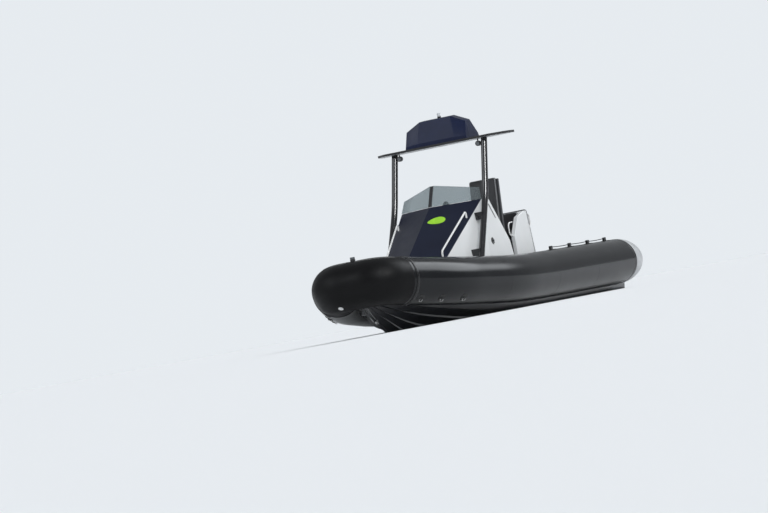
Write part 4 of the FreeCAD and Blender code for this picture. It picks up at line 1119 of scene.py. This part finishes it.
def build_engine_block():
    """Block, sump, head and ribbed cover of the straight engine under the hatch."""
    block = brick("engine_block", (0.72, -0.20, -0.10), (1.45, 0.20, 0.25), ENGINE, edge=0.020)
    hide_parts("engine")
    brick("engine_sump", (0.80, -0.15, -0.128), (1.38, 0.15, -0.09), PIPE, edge=0.010)
    brick("engine_head", (0.74, -0.13, 0.25), (1.42, 0.13, 0.42), ENGINE, edge=0.010)
    brick("engine_cover", (0.76, -0.110, 0.42), (1.40, 0.110, 0.535), ENGINE_PAINT, edge=0.025)
    ribs = [brick("engine_cover_rib_%d" % i, (x, -0.085, 0.53), (x + 0.03, 0.085, 0.545), ENGINE_PAINT)
            for i, x in enumerate([0.82 + 0.085 * i for i in range(7)])]
    join("engine_cover_ribs", ribs)
    filler = ((0, 0.030), (0.030, 0.030), (0.034, 0.024), (0.034, 0.002))
    turned("engine_filler", filler, (1.36, 0, 0.53), UP, BLACK_SATIN)


def build_manifolds():
    """Intake with its runners, exhaust with its elbow and turbo, and the bell at the aft end."""
    turned("engine_intake", MANIFOLD, (0.79, 0.245, 0.40), FORWARD, ENGINE_PAINT)
    runners = []
    for i in range(6):
        x = 0.84 + 0.10 * i
        corners = ((x, 0.10, 0.33), (x, 0.20, 0.33), (x, 0.245, 0.39))
        runners.append(bent_pipe("engine_runner_%d" % i, corners, 0.45, 0.01, 0.024, ENGINE_PAINT, 14))
    join("engine_runners", runners)
    turned("engine_exhaust", MANIFOLD, (0.79, -0.235, 0.30), FORWARD, PIPE)
    corners = ((0.83, 0.34), (0.83, 0.47), (0.68, 0.47), (0.68, 0.02), (0.63, 0.02))
    bent_pipe("engine_elbow", [(x, -0.235, z) for x, z in corners], 0.45, 0.02, 0.048, PIPE, 20)
    turbo = ((0, 0.03), (0.02, 0.080), (0.05, 0.092), (0.07, 0.080), (0.10, 0.045), (0.15, 0.045))
    turned("engine_turbo", turbo, (1.22, -0.245, 0.44), FORWARD, ENGINE)
    bell = ((0, 0.15), (0.02, 0.22), (0.08, 0.225), (0.12, 0.19))
    turned("engine_bell", bell, (0.622, 0, 0.09), FORWARD, ENGINE, sides=40)


def build_belt_drive():
    """Grooved pulleys with their belt at the front end, and the alternator."""
    for i, (y, z, radius) in enumerate(PULLEYS):
        groove = ((0, radius), (0.006, radius), (0.010, radius * 0.9), (0.020, radius * 0.9), (0.024, radius),
                  (0.030, radius), (0.030, radius * 0.5), (0.024, 0.002))
        turned("engine_pulley_%d" % i, groove, (1.465, y, z), FORWARD, STEEL, sides=32)
    sweep("engine_belt", [Vector((1.480, y, z)) for y, z in BELT], 0.007, RUBBER, sides=8, closed=True)
    alternator = ((0, 0.05), (0.01, 0.062), (0.11, 0.062), (0.12, 0.045))
    turned("engine_alternator", alternator, (1.335, 0.190, 0.22), FORWARD, STEEL)


def build_engine_sides():
    """Filter, cooler, cooling pipes and feet."""
    can = ((0, 0.040), (0.01, 0.046), (0.13, 0.046), (0.14, 0.030))
    turned("engine_filter", can, (0.95, 0.275, 0.04), UP, COVER)
    cooler = ((0, 0.03), (0.01, 0.055), (0.38, 0.055), (0.39, 0.03))
    turned("engine_cooler", cooler, (0.86, -0.255, 0.12), FORWARD, ENGINE_PAINT)
    for i, corners in enumerate(COOLING_PIPES):
        bent_pipe("engine_pipe_%d" % i, corners, 0.42, 0.012, 0.022, PIPE, 14)
    for i, (x, y) in enumerate(((0.82, 0.27), (0.82, -0.27), (1.34, 0.27), (1.34, -0.27))):
        brick("engine_foot_%d" % i, (x - 0.05, y - 0.075, -0.129), (x + 0.05, y + 0.075, -0.085), BLACK_SATIN,
              edge=0.006)


build_engine_block()
build_manifolds()
build_belt_drive()
build_engine_sides()


# Hatch, lid, door and drive


def build_casing():
    """The hatch's pad, the vents of the casing, and the latches of the hatch and of the locker's lid."""
    pads_of("hatch_pad", VINYL, body="hatch", ribs=(-0.5, 0.0, 0.5))
    for word, side in SIDES:
        for k in range(5):
            patch_on("%s_casing_vent_%d" % (word, k), "engine_casing", (1.10, side * 0.9, 0.44 + 0.028 * k),
                     (0, -side, 0), FORWARD, rounded(0.36, 0.012, 0.006), BLACK_SATIN, lift=0.0008)
    for k, y in enumerate((-0.30, 0.30)):
        brick("hatch_latch_%d" % k, (0.431, y - 0.020, 0.590), (0.441, y + 0.020, 0.655), BLACK_SATIN,
              edge=0.003)
        brick("hatch_keeper_%d" % k, (0.431, y - 0.016, 0.673), (0.441, y + 0.016, 0.698), STEEL, edge=0.002,
              body="hatch")
    brick("lid_latch", (6.562, -0.022, 0.600), (6.570, 0.022, 0.645), BLACK_SATIN, edge=0.002)


def build_door():
    """Handle and vents of the cuddy's door."""
    corners = ((4.030, 0.66), (3.985, 0.66), (3.985, 0.80), (4.030, 0.80))
    handle = bend([Vector((x, -0.105, z)) for x, z in corners], 0.35, 0.005)
    sweep("door_handle", handle, 0.007, STEEL, sides=12, body="door")
    for k in range(4):
        patch_on("door_vent_%d" % k, "cuddy_door", (3.7, -0.25, 0.90 + 0.026 * k), FORWARD, (0, 1, 0),
                 rounded(0.20, 0.011, 0.005), BLACK_SATIN, lift=0.0008, body="door")


def build_side_ring():
    """The ring on the port side of the console."""
    point, normal = cast("console", (3.90, 1.2, 1.03), (0, -1, 0))
    ring_fitting("side_ring", point, normal, FORWARD, Vector((0.2, 0, -1)).normalized(), flat=True)


def build_drive_bolts():
    """Two rows of bolts on the shield of the drive."""
    starts = [(-0.6, y, z) for y in (-0.165, 0.165) for z in (-0.22, -0.11, 0.00, 0.11)]
    places = [cast("drive_mount", start, FORWARD) for start in starts]
    studs("drive_mount_bolts", places, 0.010, 0.008, STEEL)


build_casing()
build_door()
build_side_ring()
build_drive_bolts()


# Grab lines

LINE_HEIGHT = 0.796
LINE_BLOCKS = (2.76, 2.04, 1.33, 0.65)
# Control points of a line. Columns: place along the boat, sag.
LINE_SPOTS = ((2.80, 0.0), (2.40, 0.016), (2.04, 0.0), (1.69, 0.016), (1.33, 0.0), (0.99, 0.016), (0.61, 0.0))


def build_line_blocks(word, side):
    """Blocks that carry the rope, each on a patch."""
    y = side * HALF_BEAM
    for i, x in enumerate(LINE_BLOCKS):
        brick("%s_line_block_%d" % (word, i), (x - 0.035, y - 0.020, 0.750), (x + 0.035, y + 0.020, 0.811),
              BLACK_SATIN, edge=0.008)
        crown = Vector((x, y, COLLAR_HEIGHT + TUBE_SURFACE))
        wrapped_disc("%s_line_patch_%d" % (word, i), crown, UP, FORWARD, 0.085, 0.004, RUBBER)


def build_line(word, side):
    """The rope through the blocks of a side tube."""
    curve = bpy.data.curves.new(word + "_grab_line", "CURVE")
    curve.dimensions = "3D"
    curve.bevel_depth = 0.006
    curve.bevel_resolution = 4
    curve.resolution_u = 10
    spline = curve.splines.new("NURBS")
    spline.points.add(len(LINE_SPOTS) - 1)
    for point, (x, sag) in zip(spline.points, LINE_SPOTS):
        point.co = (x, side * HALF_BEAM, LINE_HEIGHT - sag, 1)
    spline.order_u = 4
    spline.use_endpoint_u = True
    curve.materials.append(ROPE)
    rope = added(word + "_grab_line", curve)
    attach(rope, "boat")


for word, side in SIDES:
    build_line_blocks(word, side)
    build_line(word, side)


# Studio

# Colour of the floor, the colour that the camera sees behind it, and the light from the whole sky.
BACKDROP = (0.86, 0.87, 0.88)
SHOWN = (0.794, 0.833, 0.870)
SKY_TINT = (0.92, 0.96, 1.0)
AMBIENT = 0.36
# Soft lights in the sky. Columns: direction, angles from it where the light ends and is full, strength.
SOFT_LIGHTS = (
    ((0.55, 0.60, 0.58), 20, 11, 3.3),
    ((-0.62, 0.52, 0.58), 22, 12, 3.6),
    ((0.60, -0.62, 0.50), 20, 11, 2.6),
)
FLOOR_REACH = 400.0
SUN_WAY = (0.40, 0.75, 0.70)
SUN_STRENGTH = 1.0
SUN_WIDTH = 12
# The camera: angles off the bow and of roll in degrees, distance from the anchor, height over the floor.
AZIMUTH = 22.72
ROLL = 10.5
DISTANCE = 67.7
EYE_HEIGHT = 0.15
# In pixels: the picture's size, the focal length, and where the middle of the transom falls.
PICTURE = (768, 513)
FOCAL = 4400.0
ANCHOR_PIXEL = (560, 272)
SENSOR = 36


def plain(name, colour):
    """A matt material of one colour."""
    made = bpy.data.materials.new(name)
    made.use_nodes = True
    shader = made.node_tree.nodes["Principled BSDF"]
    shader.inputs["Base Color"].default_value = (*colour, 1)
    shader.inputs["Roughness"].default_value = 1.0
    shader.inputs["Specular IOR Level"].default_value = 0.0
    return made


def build_floor():
    """The floor, at the waterline."""
    mesh = bpy.data.meshes.new("floor")
    far = FLOOR_REACH
    mesh.from_pydata([(-far, -far, 0), (far, -far, 0), (far, far, 0), (-far, far, 0)], [], [(0, 1, 2, 3)])
    mesh.materials.append(plain("floor", BACKDROP))
    return added("floor", mesh)


def sky_level(tree):
    """Strength of the sky: the ambient light, and each soft light added to it."""
    coords = tree.nodes.new("ShaderNodeTexCoord").outputs["Generated"]
    level = None
    for direction, outer, inner, strength in SOFT_LIGHTS:
        dot = tree.nodes.new("ShaderNodeVectorMath")
        dot.operation = "DOT_PRODUCT"
        dot.inputs[1].default_value = Vector(direction).normalized()
        tree.links.new(coords, dot.inputs[0])
        ramp = tree.nodes.new("ShaderNodeMapRange")
        ramp.interpolation_type = "SMOOTHSTEP"
        ramp.inputs["From Min"].default_value = math.cos(math.radians(outer))
        ramp.inputs["From Max"].default_value = math.cos(math.radians(inner))
        ramp.inputs["To Min"].default_value = 0.0 if level else AMBIENT
        ramp.inputs["To Max"].default_value = strength
        tree.links.new(dot.outputs["Value"], ramp.inputs["Value"])
        if level:
            total = tree.nodes.new("ShaderNodeMath")
            tree.links.new(level, total.inputs[0])
            tree.links.new(ramp.outputs["Result"], total.inputs[1])
            level = total.outputs["Value"]
        else:
            level = ramp.outputs["Result"]
    return level


def build_world():
    """Soft light from the sky, and one plain colour where the camera sees it."""
    world = bpy.data.worlds.new("studio")
    world.use_nodes = True
    tree = world.node_tree
    light = tree.nodes["Background"]
    light.inputs["Color"].default_value = (*SKY_TINT, 1)
    tree.links.new(sky_level(tree), light.inputs["Strength"])
    shown = tree.nodes.new("ShaderNodeBackground")
    shown.inputs["Color"].default_value = (*SHOWN, 1)
    shown.inputs["Strength"].default_value = 1.0
    path = tree.nodes.new("ShaderNodeLightPath")
    mix = tree.nodes.new("ShaderNodeMixShader")
    tree.links.new(path.outputs["Is Camera Ray"], mix.inputs["Fac"])
    tree.links.new(light.outputs["Background"], mix.inputs[1])
    tree.links.new(shown.outputs["Background"], mix.inputs[2])
    tree.links.new(mix.outputs["Shader"], tree.nodes["World Output"].inputs["Surface"])
    bpy.context.scene.world = world


def build_sun():
    """One wide sun for the shadows."""
    data = bpy.data.lights.new("sun", "SUN")
    data.energy = SUN_STRENGTH
    data.angle = math.radians(SUN_WIDTH)
    sun = added("sun", data)
    sun.rotation_mode = "QUATERNION"
    sun.rotation_quaternion = Vector(SUN_WAY).to_track_quat("Z", "Y")
    return sun


def build_camera():
    """The camera at the photograph's angle off the bow, turned until the anchor falls on its pixel."""
    azimuth, roll = math.radians(AZIMUTH), math.radians(ROLL)
    anchor = Vector((0, 0, COLLAR_HEIGHT))
    place = anchor + Vector((math.cos(azimuth), math.sin(azimuth), 0)) * DISTANCE
    place.z = EYE_HEIGHT
    level = Vector((-math.sin(azimuth), math.cos(azimuth), 0))
    image_right = level * math.cos(roll) - UP * math.sin(roll)
    image_up = level * math.sin(roll) + UP * math.cos(roll)
    aside = (PICTURE[0] / 2 - ANCHOR_PIXEL[0]) / FOCAL
    lower = (ANCHOR_PIXEL[1] - PICTURE[1] / 2) / FOCAL
    back = (place - anchor).normalized()
    ahead = (-back + image_right * aside + image_up * lower).normalized()
    right = (image_right - ahead * image_right.dot(ahead)).normalized()
    turn = Matrix((right, right.cross(ahead), -ahead)).transposed().to_4x4()
    data = bpy.data.cameras.new("camera")
    data.sensor_width = SENSOR
    data.lens = SENSOR * FOCAL / PICTURE[0]
    data.clip_end = 2000
    camera = added("camera", data)
    camera.matrix_world = Matrix.Translation(place) @ turn
    bpy.context.scene.camera = camera


floor = build_floor()
build_world()
sun = build_sun()
build_camera()
bpy.context.scene.view_settings.view_transform = "Standard"
